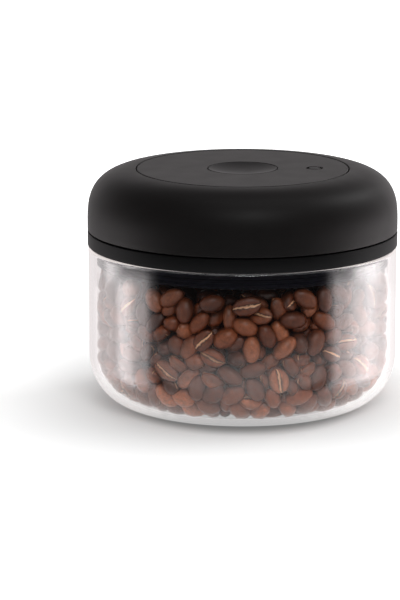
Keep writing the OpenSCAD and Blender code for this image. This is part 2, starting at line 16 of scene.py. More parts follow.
import bpy
import numpy as np
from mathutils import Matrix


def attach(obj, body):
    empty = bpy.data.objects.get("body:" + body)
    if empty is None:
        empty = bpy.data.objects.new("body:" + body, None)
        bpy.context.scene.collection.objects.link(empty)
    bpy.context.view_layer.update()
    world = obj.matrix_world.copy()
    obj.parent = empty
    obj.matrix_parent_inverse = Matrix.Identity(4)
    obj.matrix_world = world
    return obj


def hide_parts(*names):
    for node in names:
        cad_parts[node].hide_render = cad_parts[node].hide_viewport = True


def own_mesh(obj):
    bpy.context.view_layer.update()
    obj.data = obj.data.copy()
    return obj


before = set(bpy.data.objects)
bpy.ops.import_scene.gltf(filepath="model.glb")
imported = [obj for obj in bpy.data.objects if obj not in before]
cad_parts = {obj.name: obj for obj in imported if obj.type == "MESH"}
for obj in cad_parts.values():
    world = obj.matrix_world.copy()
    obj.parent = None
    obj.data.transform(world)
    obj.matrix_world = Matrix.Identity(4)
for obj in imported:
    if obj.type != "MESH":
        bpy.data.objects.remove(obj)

MM = 0.001
# Nearly all of a noise's levels lie between these two.
NOISE = (0.3, 0.7)
LOG = logging.getLogger("canister")

Surface = tuple[np.ndarray, list[np.ndarray]]
Pair = tuple[float, float]
Triple = tuple[float, float, float]
Curve = tuple[Pair, ...]


class Body(str, Enum):
    """The moving bodies that new pieces ride on."""

    JAR = "jar"
    LID = "lid"
    SHELL = "shell"
    BUTTON = "button"


class Slot(str, Enum):
    """Names of the material slots that are passed along with new pieces."""

    GLASS = "jar_glass"
    LID = "lid_plastic"
    BUTTON = "button_plastic"
    GASKET = "gasket_silicone"
    STEEL = "steel"
    FELT = "filter_felt"


def linear(code: str) -> tuple[float, float, float, float]:
    """Turns an sRGB hex colour into linear light.

    Args:
        code: Six hex digits after a hash sign.

    Returns:
        Red, green, blue and an alpha of 1.
    """
    value = np.array([int(code[i : i + 2], 16) for i in (1, 3, 5)]) / 255
    light = np.where(value <= 0.04045, value / 12.92, ((value + 0.055) / 1.055) ** 2.4)
    return (*light.tolist(), 1.0)


def add_node(
    tree: bpy.types.NodeTree, kind: str, inputs: dict | None = None, **settings: object
) -> bpy.types.Node:
    """Adds a node, sets its properties, and fills or links its inputs.

    Args:
        tree: The node tree that gets the node.
        kind: The node's type, such as ShaderNodeMath.
        inputs: Input names or indices, each with a value or an output socket to link.
        **settings: Properties of the node.

    Returns:
        The new node.
    """
    node = tree.nodes.new(kind)
    for key, value in settings.items():
        setattr(node, key, value)
    for key, value in (inputs or {}).items():
        if isinstance(value, bpy.types.NodeSocket):
            tree.links.new(value, node.inputs[key])
        else:
            node.inputs[key].default_value = value
    return node


@dataclass(frozen=True)
class Finish:
    """A look that pieces share: its material is built once."""

    name: str

    def material(self) -> bpy.types.Material:
        """Gives the finish's material, and builds it where there is none yet.

        Returns:
            The material.
        """
        known = bpy.data.materials.get(self.name)
        if known:
            return known
        material = bpy.data.materials.new(self.name)
        material.use_nodes = True
        tree = material.node_tree
        tree.nodes.clear()
        add_node(tree, "ShaderNodeOutputMaterial", {"Surface": self.surface(tree)})
        return material

    def surface(self, tree: bpy.types.NodeTree) -> bpy.types.NodeSocket:
        """Adds the finish's nodes to its material's tree, and gives the shader they end in."""
        raise NotImplementedError


@dataclass(frozen=True)
class Plastic(Finish):
    """Moulded plastic or rubber: a base colour that drifts a little over a fine pebbled skin.

    Where it has a painted sheen, the colour fades to that paler colour between two heights, in
    millimetres: painted light, as from the floor.
    """

    color: str
    drift: str
    roughness: float
    rough_swing: float = 0.015
    pebble_mm: float = 0.3
    pebble_depth_mm: float = 0.012
    cloud_mm: float = 9.0
    ior: float = 1.46
    specular: float = 0.5
    subsurface: float = 0.0
    scatter_mm: float = 0.5
    painted_sheen: str = ""
    painted_sheen_from: float = 0.0
    painted_sheen_to: float = 0.0

    def surface(self, tree: bpy.types.NodeTree) -> bpy.types.NodeSocket:
        """Builds the finish from two noises, one for the pebbles and one for the slow drift.

        Args:
            tree: The material's node tree.

        Returns:
            The shader.
        """
        place = add_node(tree, "ShaderNodeTexCoord").outputs["Object"]
        cloud = add_node(
            tree,
            "ShaderNodeTexNoise",
            {"Vector": place, "Scale": 1 / (self.cloud_mm * MM), "Detail": 3.0},
        ).outputs["Fac"]
        pebble = add_node(
            tree,
            "ShaderNodeTexNoise",
            {"Vector": place, "Scale": 1 / (self.pebble_mm * MM), "Detail": 2.0},
        ).outputs["Fac"]
        color = add_node(
            tree,
            "ShaderNodeMix",
            {0: cloud, 6: linear(self.color), 7: linear(self.drift)},
            data_type="RGBA",
        ).outputs[2]
        # Painted sheen: the colour turns paler between two heights, as light from the floor would.
        if self.painted_sheen:
            height = add_node(tree, "ShaderNodeSeparateXYZ", {"Vector": place}).outputs["Z"]
            low, high = self.painted_sheen_from * MM, self.painted_sheen_to * MM
            level = add_node(
                tree, "ShaderNodeMapRange", {"Value": height, "From Min": low, "From Max": high}
            ).outputs["Result"]
            color = add_node(
                tree,
                "ShaderNodeMix",
                {0: level, 6: color, 7: linear(self.painted_sheen)},
                data_type="RGBA",
            ).outputs[2]
        rough = add_node(
            tree,
            "ShaderNodeMapRange",
            {
                "Value": cloud,
                "From Min": NOISE[0],
                "From Max": NOISE[1],
                "To Min": self.roughness - self.rough_swing,
                "To Max": self.roughness + self.rough_swing,
            },
        ).outputs["Result"]
        bump = add_node(
            tree,
            "ShaderNodeBump",
            {"Strength": 0.5, "Distance": self.pebble_depth_mm * MM, "Height": pebble},
        ).outputs["Normal"]
        return add_node(
            tree,
            "ShaderNodeBsdfPrincipled",
            {
                "Base Color": color,
                "Roughness": rough,
                "Normal": bump,
                "IOR": self.ior,
                "Specular IOR Level": self.specular,
                "Subsurface Weight": self.subsurface,
                "Subsurface Scale": self.scatter_mm * MM,
            },
        ).outputs["BSDF"]


@dataclass(frozen=True)
class TurnedSteel(Finish):
    """Stainless steel, turned or drawn: fine lines round the piece and a soft bright sheen."""

    color: str = "#c9c7c2"
    smoothest: float = 0.2
    roughest: float = 0.38
    line_mm: float = 0.12
    line_depth_mm: float = 0.004
    stretch: float = 0.1

    def surface(self, tree: bpy.types.NodeTree) -> bpy.types.NodeSocket:
        """Builds the finish from a noise that is stretched along the turning lines.

        Args:
            tree: The material's node tree.

        Returns:
            The shader.
        """
        place = add_node(tree, "ShaderNodeTexCoord").outputs["Object"]
        fine = 1 / (self.line_mm * MM)
        long = fine * self.stretch
        stretched = add_node(
            tree, "ShaderNodeMapping", {"Vector": place, "Scale": (long, long, fine)}
        ).outputs["Vector"]
        lines = add_node(
            tree, "ShaderNodeTexNoise", {"Vector": stretched, "Scale": 1.0, "Detail": 3.0}
        ).outputs["Fac"]
        rough = add_node(
            tree,
            "ShaderNodeMapRange",
            {"Value": lines, "To Min": self.smoothest, "To Max": self.roughest},
        ).outputs["Result"]
        bump = add_node(
            tree,
            "ShaderNodeBump",
            {"Strength": 0.3, "Distance": self.line_depth_mm * MM, "Height": lines},
        ).outputs["Normal"]
        return add_node(
            tree,
            "ShaderNodeBsdfPrincipled",
            {
                "Base Color": linear(self.color),
                "Metallic": 1.0,
                "Roughness": rough,
                "Normal": bump,
            },
        ).outputs["BSDF"]


@dataclass(frozen=True)
class NeedleFelt(Finish):
    """Pressed needle felt: pale crossing fibres about 0.1 mm thick, soft at the edge."""

    color: str = "#d9d5c8"
    # Colour where the fibres lie low: painted shade between them.
    shade: str = "#b9b4a4"
    fibre_mm: float = 0.16
    fibre_depth_mm: float = 0.08
    stretch: float = 0.12
    turns: Pair = (0.4, 1.9)

    def surface(self, tree: bpy.types.NodeTree) -> bpy.types.NodeSocket:
        """Builds the finish from two stretched noises that cross each other.

        Args:
            tree: The material's node tree.

        Returns:
            The shader.
        """
        place = add_node(tree, "ShaderNodeTexCoord").outputs["Object"]
        fine = 1 / (self.fibre_mm * MM)
        scale = (fine, fine * self.stretch, fine)
        fibres = []
        for turn in self.turns:
            turned = add_node(
                tree,
                "ShaderNodeMapping",
                {"Vector": place, "Rotation": (0.0, 0.0, turn), "Scale": scale},
            ).outputs["Vector"]
            noise = {"Vector": turned, "Scale": 1.0, "Detail": 2.0}
            fibres.append(add_node(tree, "ShaderNodeTexNoise", noise).outputs["Fac"])
        height = add_node(
            tree, "ShaderNodeMath", {0: fibres[0], 1: fibres[1]}, operation="MAXIMUM"
        ).outputs[0]
        # Painted shade: darker where the fibres lie low.
        color = add_node(
            tree,
            "ShaderNodeMix",
            {0: height, 6: linear(self.shade), 7: linear(self.color)},
            data_type="RGBA",
        ).outputs[2]
        bump = add_node(
            tree,
            "ShaderNodeBump",
            {"Strength": 0.8, "Distance": self.fibre_depth_mm * MM, "Height": height},
        ).outputs["Normal"]
        return add_node(
            tree,
            "ShaderNodeBsdfPrincipled",
            {"Base Color": color, "Roughness": 0.95, "Sheen Weight": 0.3, "Normal": bump},
        ).outputs["BSDF"]


@dataclass(frozen=True)
class ClearGlass(Finish):
    """Clear pressed soda-lime glass: polished, with a slow waviness left by the mould.

    Shadow rays and diffuse rays pass straight through, dimmed where they meet the glass at a
    slant, so that lamps reach the beans and the floor without caustics. A path that has bounced
    on and on inside the thick wall ends in a painted glow, which stands for the light that such a
    wall gathers from all sides.
    """

    tint: str = "#fdfdfd"
    shadow: str = "#fcfcfc"
    slant_shadow: str = "#d4d4d4"
    # Colour of the painted glow; deep and glow set where it starts and how bright it is.
    painted_glow_color: str = "#f5ebe8"
    ior: float = 1.5
    wave_mm: float = 22.0
    wave_depth_mm: float = 0.012
    deep: float = 3.5
    glow: float = 0.88

    def surface(self, tree: bpy.types.NodeTree) -> bpy.types.NodeSocket:
        """Builds the glass, and mixes it with a clear shader for shadow and diffuse rays.

        Args:
            tree: The material's node tree.

        Returns:
            The shader.
        """
        place = add_node(tree, "ShaderNodeTexCoord").outputs["Object"]
        wave = add_node(
            tree,
            "ShaderNodeTexNoise",
            {"Vector": place, "Scale": 1 / (self.wave_mm * MM), "Detail": 0.0},
        ).outputs["Fac"]
        bump = add_node(
            tree,
            "ShaderNodeBump",
            {"Strength": 0.5, "Distance": self.wave_depth_mm * MM, "Height": wave},
        ).outputs["Normal"]
        glass = add_node(
            tree,
            "ShaderNodeBsdfPrincipled",
            {
                "Base Color": linear(self.tint),
                "Roughness": 0.0,
                "IOR": self.ior,
                "Transmission Weight": 1.0,
                "Normal": bump,
            },
        ).outputs["BSDF"]
        slant = add_node(tree, "ShaderNodeLayerWeight", {"Blend": 0.5}).outputs["Facing"]
        passed = add_node(
            tree,
            "ShaderNodeMix",
            {0: slant, 6: linear(self.shadow), 7: linear(self.slant_shadow)},
            data_type="RGBA",
        ).outputs[2]
        clear = add_node(tree, "ShaderNodeBsdfTransparent", {"Color": passed}).outputs["BSDF"]
        path = add_node(tree, "ShaderNodeLightPath").outputs
        through = add_node(
            tree,
            "ShaderNodeMath",
            {0: path["Is Shadow Ray"], 1: path["Is Diffuse Ray"]},
            operation="MAXIMUM",
        ).outputs[0]
        # Painted glow: a path deeper than this in the glass ends in a pale emission.
        late = add_node(
            tree, "ShaderNodeMath", {0: path["Ray Depth"], 1: self.deep}, operation="GREATER_THAN"
        ).outputs[0]
        painted_glow = add_node(
            tree, "ShaderNodeEmission", {"Color": linear(self.painted_glow_color), "Strength": self.glow}
        ).outputs["Emission"]
        wall = add_node(tree, "ShaderNodeMixShader", {0: late, 1: glass, 2: painted_glow}).outputs[0]
        return add_node(tree, "ShaderNodeMixShader", {0: through, 1: wall, 2: clear}).outputs[0]


@dataclass(frozen=True)
class RoastedBean(Finish):
    """Medium roast coffee: satin brown skin, each bean its own tone, pale chaff in the crease.

    Each bean is painted darker at its rim and ends than in the middle of the dome, as painted
    shade, paler low in the jar as painted light, and darker under the lid as painted shadow. The
    groove beside the chaff is painted dark, as shade in the crease. Each step of shading is the
    value's range and the two factors at its ends. Widths along the skin are shares of a turn
    round the bean.
    """

    dark: str = "#421d0e"
    middle: str = "#753a1c"
    red: str = "#a15f3f"
    middle_at: float = 0.6
    chaff: str = "#ffc79c"
    # Dark band along the crease: painted shade in the groove.
    groove: str = "#1c0c06"
    roughness: float = 0.32
    specular: float = 0.5
    ior: float = 1.45
    mottle_mm: float = 1.3
    mottle_depth_mm: float = 0.15
    crease_half: float = 0.018
    crease_wander: float = 0.04
    painted_groove_shade_half: float = 0.04
    painted_groove_shade_share: float = 0.8
    edge_soft: float = 0.3
    chaff_power: float = 0.35
    rim_at: float = 0.25
    mottle_steps: tuple[float, ...] = (*NOISE, 0.66, 1.3)
    # Painted shade at the rim and ends, painted light low in the jar, painted shadow under the lid.
    painted_rim_shade: tuple[float, ...] = (0.0, 0.17, 0.6, 1.2)
    painted_end_shade: tuple[float, ...] = (0.28, 0.5, 1.0, 0.7)
    painted_floor_light: tuple[float, ...] = (0.004, 0.032, 1.8, 1.0)
    painted_lid_shadow: tuple[float, ...] = (0.04, 0.055, 1.0, 0.5)

    @staticmethod
    def distance(
        tree: bpy.types.NodeTree, value: bpy.types.NodeSocket, other: bpy.types.NodeSocket | float
    ) -> bpy.types.NodeSocket:
        """Works out how far one value is from another: the size of value - other.

        Args:
            tree: The material's node tree.
            value: The first value.
            other: The second value.

        Returns:
            The socket with the distance.
        """
        off = add_node(tree, "ShaderNodeMath", {0: value, 1: other}, operation="SUBTRACT")
        away = add_node(tree, "ShaderNodeMath", {0: off.outputs[0]}, operation="ABSOLUTE")
        return away.outputs[0]

    def surface(self, tree: bpy.types.NodeTree) -> bpy.types.NodeSocket:
        """Colours each bean by its tone, paints shade on its rim and ends, light low in the jar and
        the lid's shadow, and draws the crease.

        Args:
            tree: The material's node tree.

        Returns:
            The shader.
        """
        place = add_node(tree, "ShaderNodeTexCoord").outputs
        tone = add_node(tree, "ShaderNodeAttribute", attribute_name="tone").outputs["Fac"]
        ramp = add_node(tree, "ShaderNodeValToRGB", {"Fac": tone})
        stops = ramp.color_ramp.elements
        stops[0].color = linear(self.dark)
        stops[1].color = linear(self.red)
        stops.new(self.middle_at).color = linear(self.middle)
        mottle = add_node(
            tree,
            "ShaderNodeTexNoise",
            {
                "Vector": place["Object"],
                "Scale": 1 / (self.mottle_mm * MM),
                "Detail": 4.0,
                "Roughness": 0.65,
            },
        ).outputs["Fac"]
        height = add_node(tree, "ShaderNodeSeparateXYZ", {"Vector": place["Object"]}).outputs["Z"]
        skin_map = add_node(tree, "ShaderNodeSeparateXYZ", {"Vector": place["UV"]}).outputs
        ragged = add_node(
            tree,
            "ShaderNodeMapRange",
            {
                "Value": mottle,
                "To Min": 0.5 - self.crease_wander,
                "To Max": 0.5 + self.crease_wander,
            },
        ).outputs["Result"]
        away = self.distance(tree, skin_map["Y"], ragged)
        shade: bpy.types.NodeSocket | float = 1.0
        # The mottle is the skin's own tone; the other steps are painted shade and painted light.
        for value, (low, high, at_low, at_high) in (
            (mottle, self.mottle_steps),
            (self.distance(tree, away, self.rim_at), self.painted_rim_shade),
            (self.distance(tree, skin_map["X"], 0.5), self.painted_end_shade),
            (height, self.painted_floor_light),
            (height, self.painted_lid_shadow),
        ):
            step = add_node(
                tree,
                "ShaderNodeMapRange",
                {
                    "Value": value,
                    "From Min": low,
                    "From Max": high,
                    "To Min": at_low,
                    "To Max": at_high,
                },
            ).outputs["Result"]
            shade = add_node(
                tree, "ShaderNodeMath", {0: shade, 1: step}, operation="MULTIPLY"
            ).outputs[0]
        color = add_node(
            tree,
            "ShaderNodeMix",
            {0: 1.0, 6: ramp.outputs["Color"], 7: shade},
            data_type="RGBA",
            blend_type="MULTIPLY",
        ).outputs[2]
        chaff = add_node(tree, "ShaderNodeAttribute", attribute_name="chaff").outputs["Fac"]
        chaff = add_node(
            tree, "ShaderNodeMath", {0: chaff, 1: self.chaff_power}, operation="POWER"
        ).outputs[0]
        # First the painted shade in the groove, then the chaff's own pale colour.
        for half, paint, most in (
            (self.painted_groove_shade_half, self.groove, self.painted_groove_shade_share),
            (self.crease_half, self.chaff, chaff),
        ):
            band = add_node(
                tree,
                "ShaderNodeMapRange",
                {
                    "Value": away,
                    "From Min": half * (1 - self.edge_soft),
                    "From Max": half * (1 + self.edge_soft),
                    "To Min": most,
                    "To Max": 0.0,
                },
            ).outputs["Result"]
            color = add_node(
                tree, "ShaderNodeMix", {0: band, 6: color, 7: linear(paint)}, data_type="RGBA"
            ).outputs[2]
        bump = add_node(
            tree,
            "ShaderNodeBump",
            {"Strength": 0.5, "Distance": self.mottle_depth_mm * MM, "Height": mottle},
        ).outputs["Normal"]
        return add_node(
            tree,
            "ShaderNodeBsdfPrincipled",
            {
                "Base Color": color,
                "Roughness": self.roughness,
                "IOR": self.ior,
                "Specular IOR Level": self.specular,
                "Normal": bump,
            },
        ).outputs["BSDF"]


@dataclass(frozen=True)
class StudioPaper(Finish):
    """White paper that glows where the camera looks, so that it fades to white round the object.

    Its lit surface keeps the object's shadow, and near the foot its colour is painted dark as a
    contact shadow. Light that only camera rays, gloss and glass see lifts it, and more so far from
    the object. Gloss and glass see it near the object, and pass through it farther out, where a
    studio table would end. A reach is where a soft change starts and ends, in metres from the
    object, which counts as an oval, or along Y for the side cut.
    """

    color: str = "#e6e6e6"
    # Painted contact shadow: the paper's colour near the foot.
    painted_contact_shadow: str = "#4a4a4a"
    painted_contact_reach: Pair = (0.044, 0.062)
    oval: float = 1.22
    lift: float = 0.165
    lift_reach: Pair = (0.052, 0.21)
    gloss_lift: float = 0.5
    gloss_reach: Pair = (0.125, 0.235)
    side_cut: float = 2.4
    side_reach: Pair = (-0.1, -0.06)

    def surface(self, tree: bpy.types.NodeTree) -> bpy.types.NodeSocket:
        """Adds the glow to the paper, and mixes both with a clear shader for gloss and glass.

        Args:
            tree: The material's node tree.

        Returns:
            The shader.
        """
        place = add_node(tree, "ShaderNodeTexCoord").outputs["Object"]
        path = add_node(tree, "ShaderNodeLightPath").outputs
        wide = add_node(
            tree, "ShaderNodeVectorMath", {0: place, 1: (self.oval, 1.0, 1.0)}, operation="MULTIPLY"
        ).outputs["Vector"]
        oval_away, away = (
            add_node(tree, "ShaderNodeVectorMath", {0: spot}, operation="LENGTH").outputs["Value"]
            for spot in (wide, place)
        )
        # Painted contact shadow: the paper turns dark near the foot.
        low, high = self.painted_contact_reach
        painted_contact_fade = add_node(
            tree,
            "ShaderNodeMapRange",
            {"Value": oval_away, "From Min": low, "From Max": high},
            interpolation_type="SMOOTHSTEP",
        ).outputs["Result"]
        tone = add_node(
            tree,
            "ShaderNodeMix",
            {0: painted_contact_fade, 6: linear(self.painted_contact_shadow), 7: linear(self.color)},
            data_type="RGBA",
        ).outputs[2]
        paper = add_node(tree, "ShaderNodeBsdfDiffuse", {"Color": tone}).outputs["BSDF"]
        lift = add_node(
            tree,
            "ShaderNodeMapRange",
            {
                "Value": oval_away,
                "From Min": self.lift_reach[0],
                "From Max": self.lift_reach[1],
                "To Min": self.lift,
                "To Max": 1.0,
            },
        ).outputs["Result"]
        seen = add_node(
            tree, "ShaderNodeMath", {0: path["Is Camera Ray"], 1: lift}, operation="MULTIPLY"
        ).outputs[0]
        strength = add_node(
            tree,
            "ShaderNodeMath",
            {0: path["Is Glossy Ray"], 1: self.gloss_lift, 2: seen},
            operation="MULTIPLY_ADD",
        ).outputs[0]
        glow = add_node(tree, "ShaderNodeEmission", {"Strength": strength}).outputs["Emission"]
        lit = add_node(tree, "ShaderNodeAddShader", {0: paper, 1: glow}).outputs["Shader"]
        y = add_node(tree, "ShaderNodeSeparateXYZ", {"Vector": place}).outputs["Y"]
        sideways = add_node(
            tree,
            "ShaderNodeMapRange",
            {
                "Value": y,
                "From Min": self.side_reach[0],
                "From Max": self.side_reach[1],
                "To Min": 1.0,
                "To Max": self.side_cut,
            },
            interpolation_type="SMOOTHSTEP",
        ).outputs["Result"]
        widened = add_node(
            tree, "ShaderNodeMath", {0: away, 1: sideways}, operation="MULTIPLY"
        ).outputs[0]
        low, high = self.gloss_reach
        beyond = add_node(
            tree,
            "ShaderNodeMapRange",
            {"Value": widened, "From Min": low, "From Max": high},
            interpolation_type="SMOOTHSTEP",
        ).outputs["Result"]
        gone = add_node(
            tree, "ShaderNodeMath", {0: path["Is Glossy Ray"], 1: beyond}, operation="MULTIPLY"
        ).outputs[0]
        clear = add_node(tree, "ShaderNodeBsdfTransparent").outputs["BSDF"]
        return add_node(tree, "ShaderNodeMixShader", {0: gone, 1: lit, 2: clear}).outputs[0]


# Soft-touch painted ABS: near-black with a matte, slightly warm bloom at grazing angles.
SOFT_TOUCH = Plastic("soft_touch_black", "#151313", "#171515", 0.5, pebble_mm=0.22, specular=0.17)
# Moulded ABS, lightly sparked: black and smoother than the paint, painted paler towards its
# lower edge as a painted sheen of the floor's light.
RING_ABS = Plastic(
    "moulded_black_abs",
    "#0e0e0e",
    "#101011",
    0.45,
    specular=0.05,
    painted_sheen="#1f1f20",
    painted_sheen_from=67.5,
    painted_sheen_to=62.2,
)
# Moulded ABS button: satin, with the same fine spark texture.
BUTTON_ABS = Plastic("satin_black_abs", "#161516", "#191718", 0.5, pebble_mm=0.25, specular=0.15)
# Dark grey glass-filled nylon of the frame: matte and a little streaky.
FRAME_NYLON = Plastic("grey_filled_nylon", "#343437", "#3c3c3f", 0.55, cloud_mm=5.0)
# Natural acetal: milky white, waxy and smooth.
ACETAL = Plastic("natural_acetal", "#e3e0d5", "#dad6c9", 0.35, subsurface=0.15)
# Black silicone gasket: bluish black with a satin skin.
GASKET_SILICONE = Plastic(
    "black_silicone", "#0c0d15", "#10111a", 0.5, cloud_mm=12.0, specular=0.04
)
# Red-brown silicone of the valves: even and softly shining.
VALVE_SILICONE = Plastic("red_silicone", "#a5482f", "#93402b", 0.42)
# Nitrile rubber of the O-rings: dull and dark.
NITRILE = Plastic("black_nitrile", "#191919", "#202020", 0.6)
# Stainless steel of the springs, pins and screws: bright, with fine lines. They are drawn
# coarser than real turning lines, so that they show.
STAINLESS = TurnedSteel("stainless_steel")
# Felt of the filter pads: pale and fibrous. Its fibres are drawn coarser than real ones, so
# that they show.
FELT = NeedleFelt("needle_felt")
# Glass of the jar: clear, with bright edges, partly from a painted glow deep in the wall.
JAR_GLASS = ClearGlass("clear_soda_glass")
# Skin of the beans: brown, mottled and satin, with painted shade at the rims, ends and crease,
# a painted shadow under the lid, and painted light low in the jar.
BEANS = RoastedBean("roasted_coffee")
# Paper of the studio's floor: white, keeping the lamps' shadow, with a painted dark contact
# shadow at the foot.
PAPER = StudioPaper("white_paper_floor")


def rounded(*corners: Triple, steps: int = 7) -> np.ndarray:
    """Rounds the corners of an outline with true arcs.

    A corner P with the radius r is cut back along both of its sides to A and B, by r over the
    tangent of half its angle. The arc from A to B is the rational quadratic curve with the
    control points A, P and B, whose middle weight is the sine of half the angle.

    Args:
        *corners: Radius from the axis, height and corner radius of each corner, in millimetres.
        steps: Points on each arc.

    Returns:
        Rows of radius from the axis and height, without doubled points.
    """
    table = np.array(corners, float)
    point, radius = table[:, :2], table[:, 2]
    back, ahead = (
        side / np.linalg.norm(side, axis=1, keepdims=True)
        for side in (np.roll(point, 1, 0) - point, np.roll(point, -1, 0) - point)
    )
    half = np.arccos(np.clip((back * ahead).sum(1), -1, 1)) / 2
    cut = (radius / np.tan(half))[:, None]
    s = np.linspace(0, 1, steps)[None, :, None]
    start, end, top = (p[:, None, :] for p in (point + back * cut, point + ahead * cut, point))
    weight = 2 * s * (1 - s) * np.sin(half)[:, None, None]
    near, far = (1 - s) ** 2, s**2
    arc = (near * start + weight * top + far * end) / (near + weight + far)
    return without_doubles(arc.reshape(-1, 2))


def without_doubles(outline: np.ndarray, least: float = 1e-4) -> np.ndarray:
    """Drops each point that lies less than a least distance from the one before it."""
    step = np.linalg.norm(np.diff(outline, axis=0), axis=1)
    return outline[np.concatenate([[True], step > least])]


def superellipse(
    center: Pair, reach: float, rise: float, t: np.ndarray, power: float = 2.0
) -> np.ndarray:
    """Follows a superellipse.

    Args:
        center: Radius and height of its centre.
        reach: Half of its width, less than 0 for its inner half.
        rise: Half of its height, less than 0 for its lower half.
        t: Angles, from 0 at its outermost point to a right angle at its level top.
        power: Its power, where 2 is an ellipse.

    Returns:
        Rows of radius and height: centre + (reach cos^(2/power) t, rise sin^(2/power) t).
    """
    share = 2 / power
    level, height = reach * np.cos(t) ** share, rise * np.sin(t) ** share
    return np.stack([center[0] + level, center[1] + height], 1)


def linked(name: str, data: bpy.types.ID) -> bpy.types.Object:
    """Makes an object from its data and links it to the scene.

    Args:
        name: The object's name.
        data: Its mesh, lamp or camera.

    Returns:
        The object, at the origin.
    """
    thing = bpy.data.objects.new(name, data)
    bpy.context.scene.collection.objects.link(thing)
    return thing


def full_turn(count: int) -> np.ndarray:
    """Divides a full turn into equal steps, in radians from 0."""
    return np.arange(count) * 2 * math.pi / count


def mesh_object(name: str, points: np.ndarray, faces: list[np.ndarray]) -> bpy.types.Object:
    """Makes a smooth mesh object from points in millimetres, with its faces pointing outwards.

    The signed volume, the sum over the faces' triangles of a . (b x c) / 6, tells which way the
    faces point. Where it is negative, every face is turned round.

    Args:
        name: The object's name.
        points: Rows of x, y and z in millimetres.
        faces: Arrays of vertex indices, one for each number of corners.

    Returns:
        The linked object, at the origin.
    """
    fans = np.concatenate([f[:, [0, k, k + 1]] for f in faces for k in range(1, f.shape[1] - 1)])
    a, b, c = (points[fans[:, k]] for k in range(3))
    if np.einsum("ij,ij->", a, np.cross(b, c)) < 0:
        faces = [f[:, ::-1] for f in faces]
    mesh = bpy.data.meshes.new(name)
    mesh.from_pydata((points * MM).tolist(), [], [row for f in faces for row in f.tolist()])
    mesh.update()
    mesh.shade_smooth()
    return linked(name, mesh)


def tube_faces(rings: int, sides: int, capped: bool = True) -> list[np.ndarray]:
    """Joins rings of points into a tube.

    Point k of ring i has the index i sides + k, and quads join each ring to the next. A capped
    tube is closed by fans round two more points that follow the rings, the first at its start.
    Any other is joined from its last ring to its first.

    Args:
        rings: Number of rings.
        sides: Points in each ring.
        capped: Whether it is closed at both ends.

    Returns:
        The array of quads and, if it is capped, the array of triangles.
    """
    low = np.arange(rings - 1 if capped else rings)[:, None] * sides
    high = (low + sides) % (rings * sides)
    here = np.arange(sides)
    there = (here + 1) % sides
    quads = np.stack([low + here, low + there, high + there, high + here], -1).reshape(-1, 4)
    if not capped:
        return [quads]
    last, tip = (rings - 1) * sides, np.full(sides, rings * sides)
    start = np.stack([there, here, tip], 1)
    end = np.stack([last + here, last + there, tip + 1], 1)
    return [quads, np.concatenate([start, end])]


def revolve(outline: np.ndarray, segments: int, center: Pair = (0.0, 0.0)) -> Surface:
    """Turns an outline about a vertical axis into a closed surface.

    A point at radius r and height z becomes the ring (x0 + r cos a, y0 + r sin a, z), with a in
    equal steps of a full turn. An outline that starts and ends on the axis is closed there, and
    any other is joined from its last ring to its first.

    Args:
        outline: Rows of radius and height, in millimetres.
        segments: Number of steps round the axis.
        center: Where the axis stands, in millimetres.

    Returns:
        The points, and the arrays of faces.
    """
    on_axis = bool(outline[0, 0] < 1e-6)
    rings = outline[1:-1] if on_axis else outline
    a = full_turn(segments)
    r, z = rings[:, :1], rings[:, 1:]
    points = np.stack([r * np.cos(a), r * np.sin(a), z + 0 * a], -1).reshape(-1, 3)
    if on_axis:
        points = np.concatenate([points, [[0, 0, z] for z in outline[[0, -1], 1]]])
    return points + [*center, 0.0], tube_faces(len(rings), segments, on_axis)


def joined(parts: list[Surface]) -> Surface:
    """Puts several surfaces into one list of points and faces.

    Args:
        parts: The surfaces.

    Returns:
        One list of points, and the faces with their indices moved along.
    """
    starts = np.cumsum([0] + [len(points) for points, _ in parts])
    faces = [f + start for (_, faces), start in zip(parts, starts) for f in faces]
    return np.concatenate([points for points, _ in parts]), faces


class SubAssembly:
    """What every group of pieces shares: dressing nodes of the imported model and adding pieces."""

    def dress(self, finish: Finish, *nodes: str) -> None:
        """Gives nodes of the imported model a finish.

        Args:
            finish: The finish.
            *nodes: Names of the nodes.
        """
        material = finish.material()
        for name in nodes:
            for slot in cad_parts[name].material_slots:
                slot.material = material
            LOG.info("dressed %s with %s", name, material.name)

    def add(
        self,
        name: str,
        surface: Surface,
        finish: Finish,
        body: Body,
        slot: Slot | None,
        *nodes: str,
    ) -> bpy.types.Object:
        """Adds a piece with its finish and its body, and hides the nodes that it stands for.

        Args:
            name: Its name.
            surface: Its points and faces.
            finish: Its finish.
            body: The body that it rides on.
            slot: Not used.
            *nodes: Names of the nodes that it replaces.

        Returns:
            The piece.
        """
        piece = mesh_object(name, *surface)
        piece.data.materials.append(finish.material())
        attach(piece, body.value)
        if nodes:
            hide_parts(*nodes)
        LOG.info("placed %s with %d faces", name, len(piece.data.polygons))
        return piece


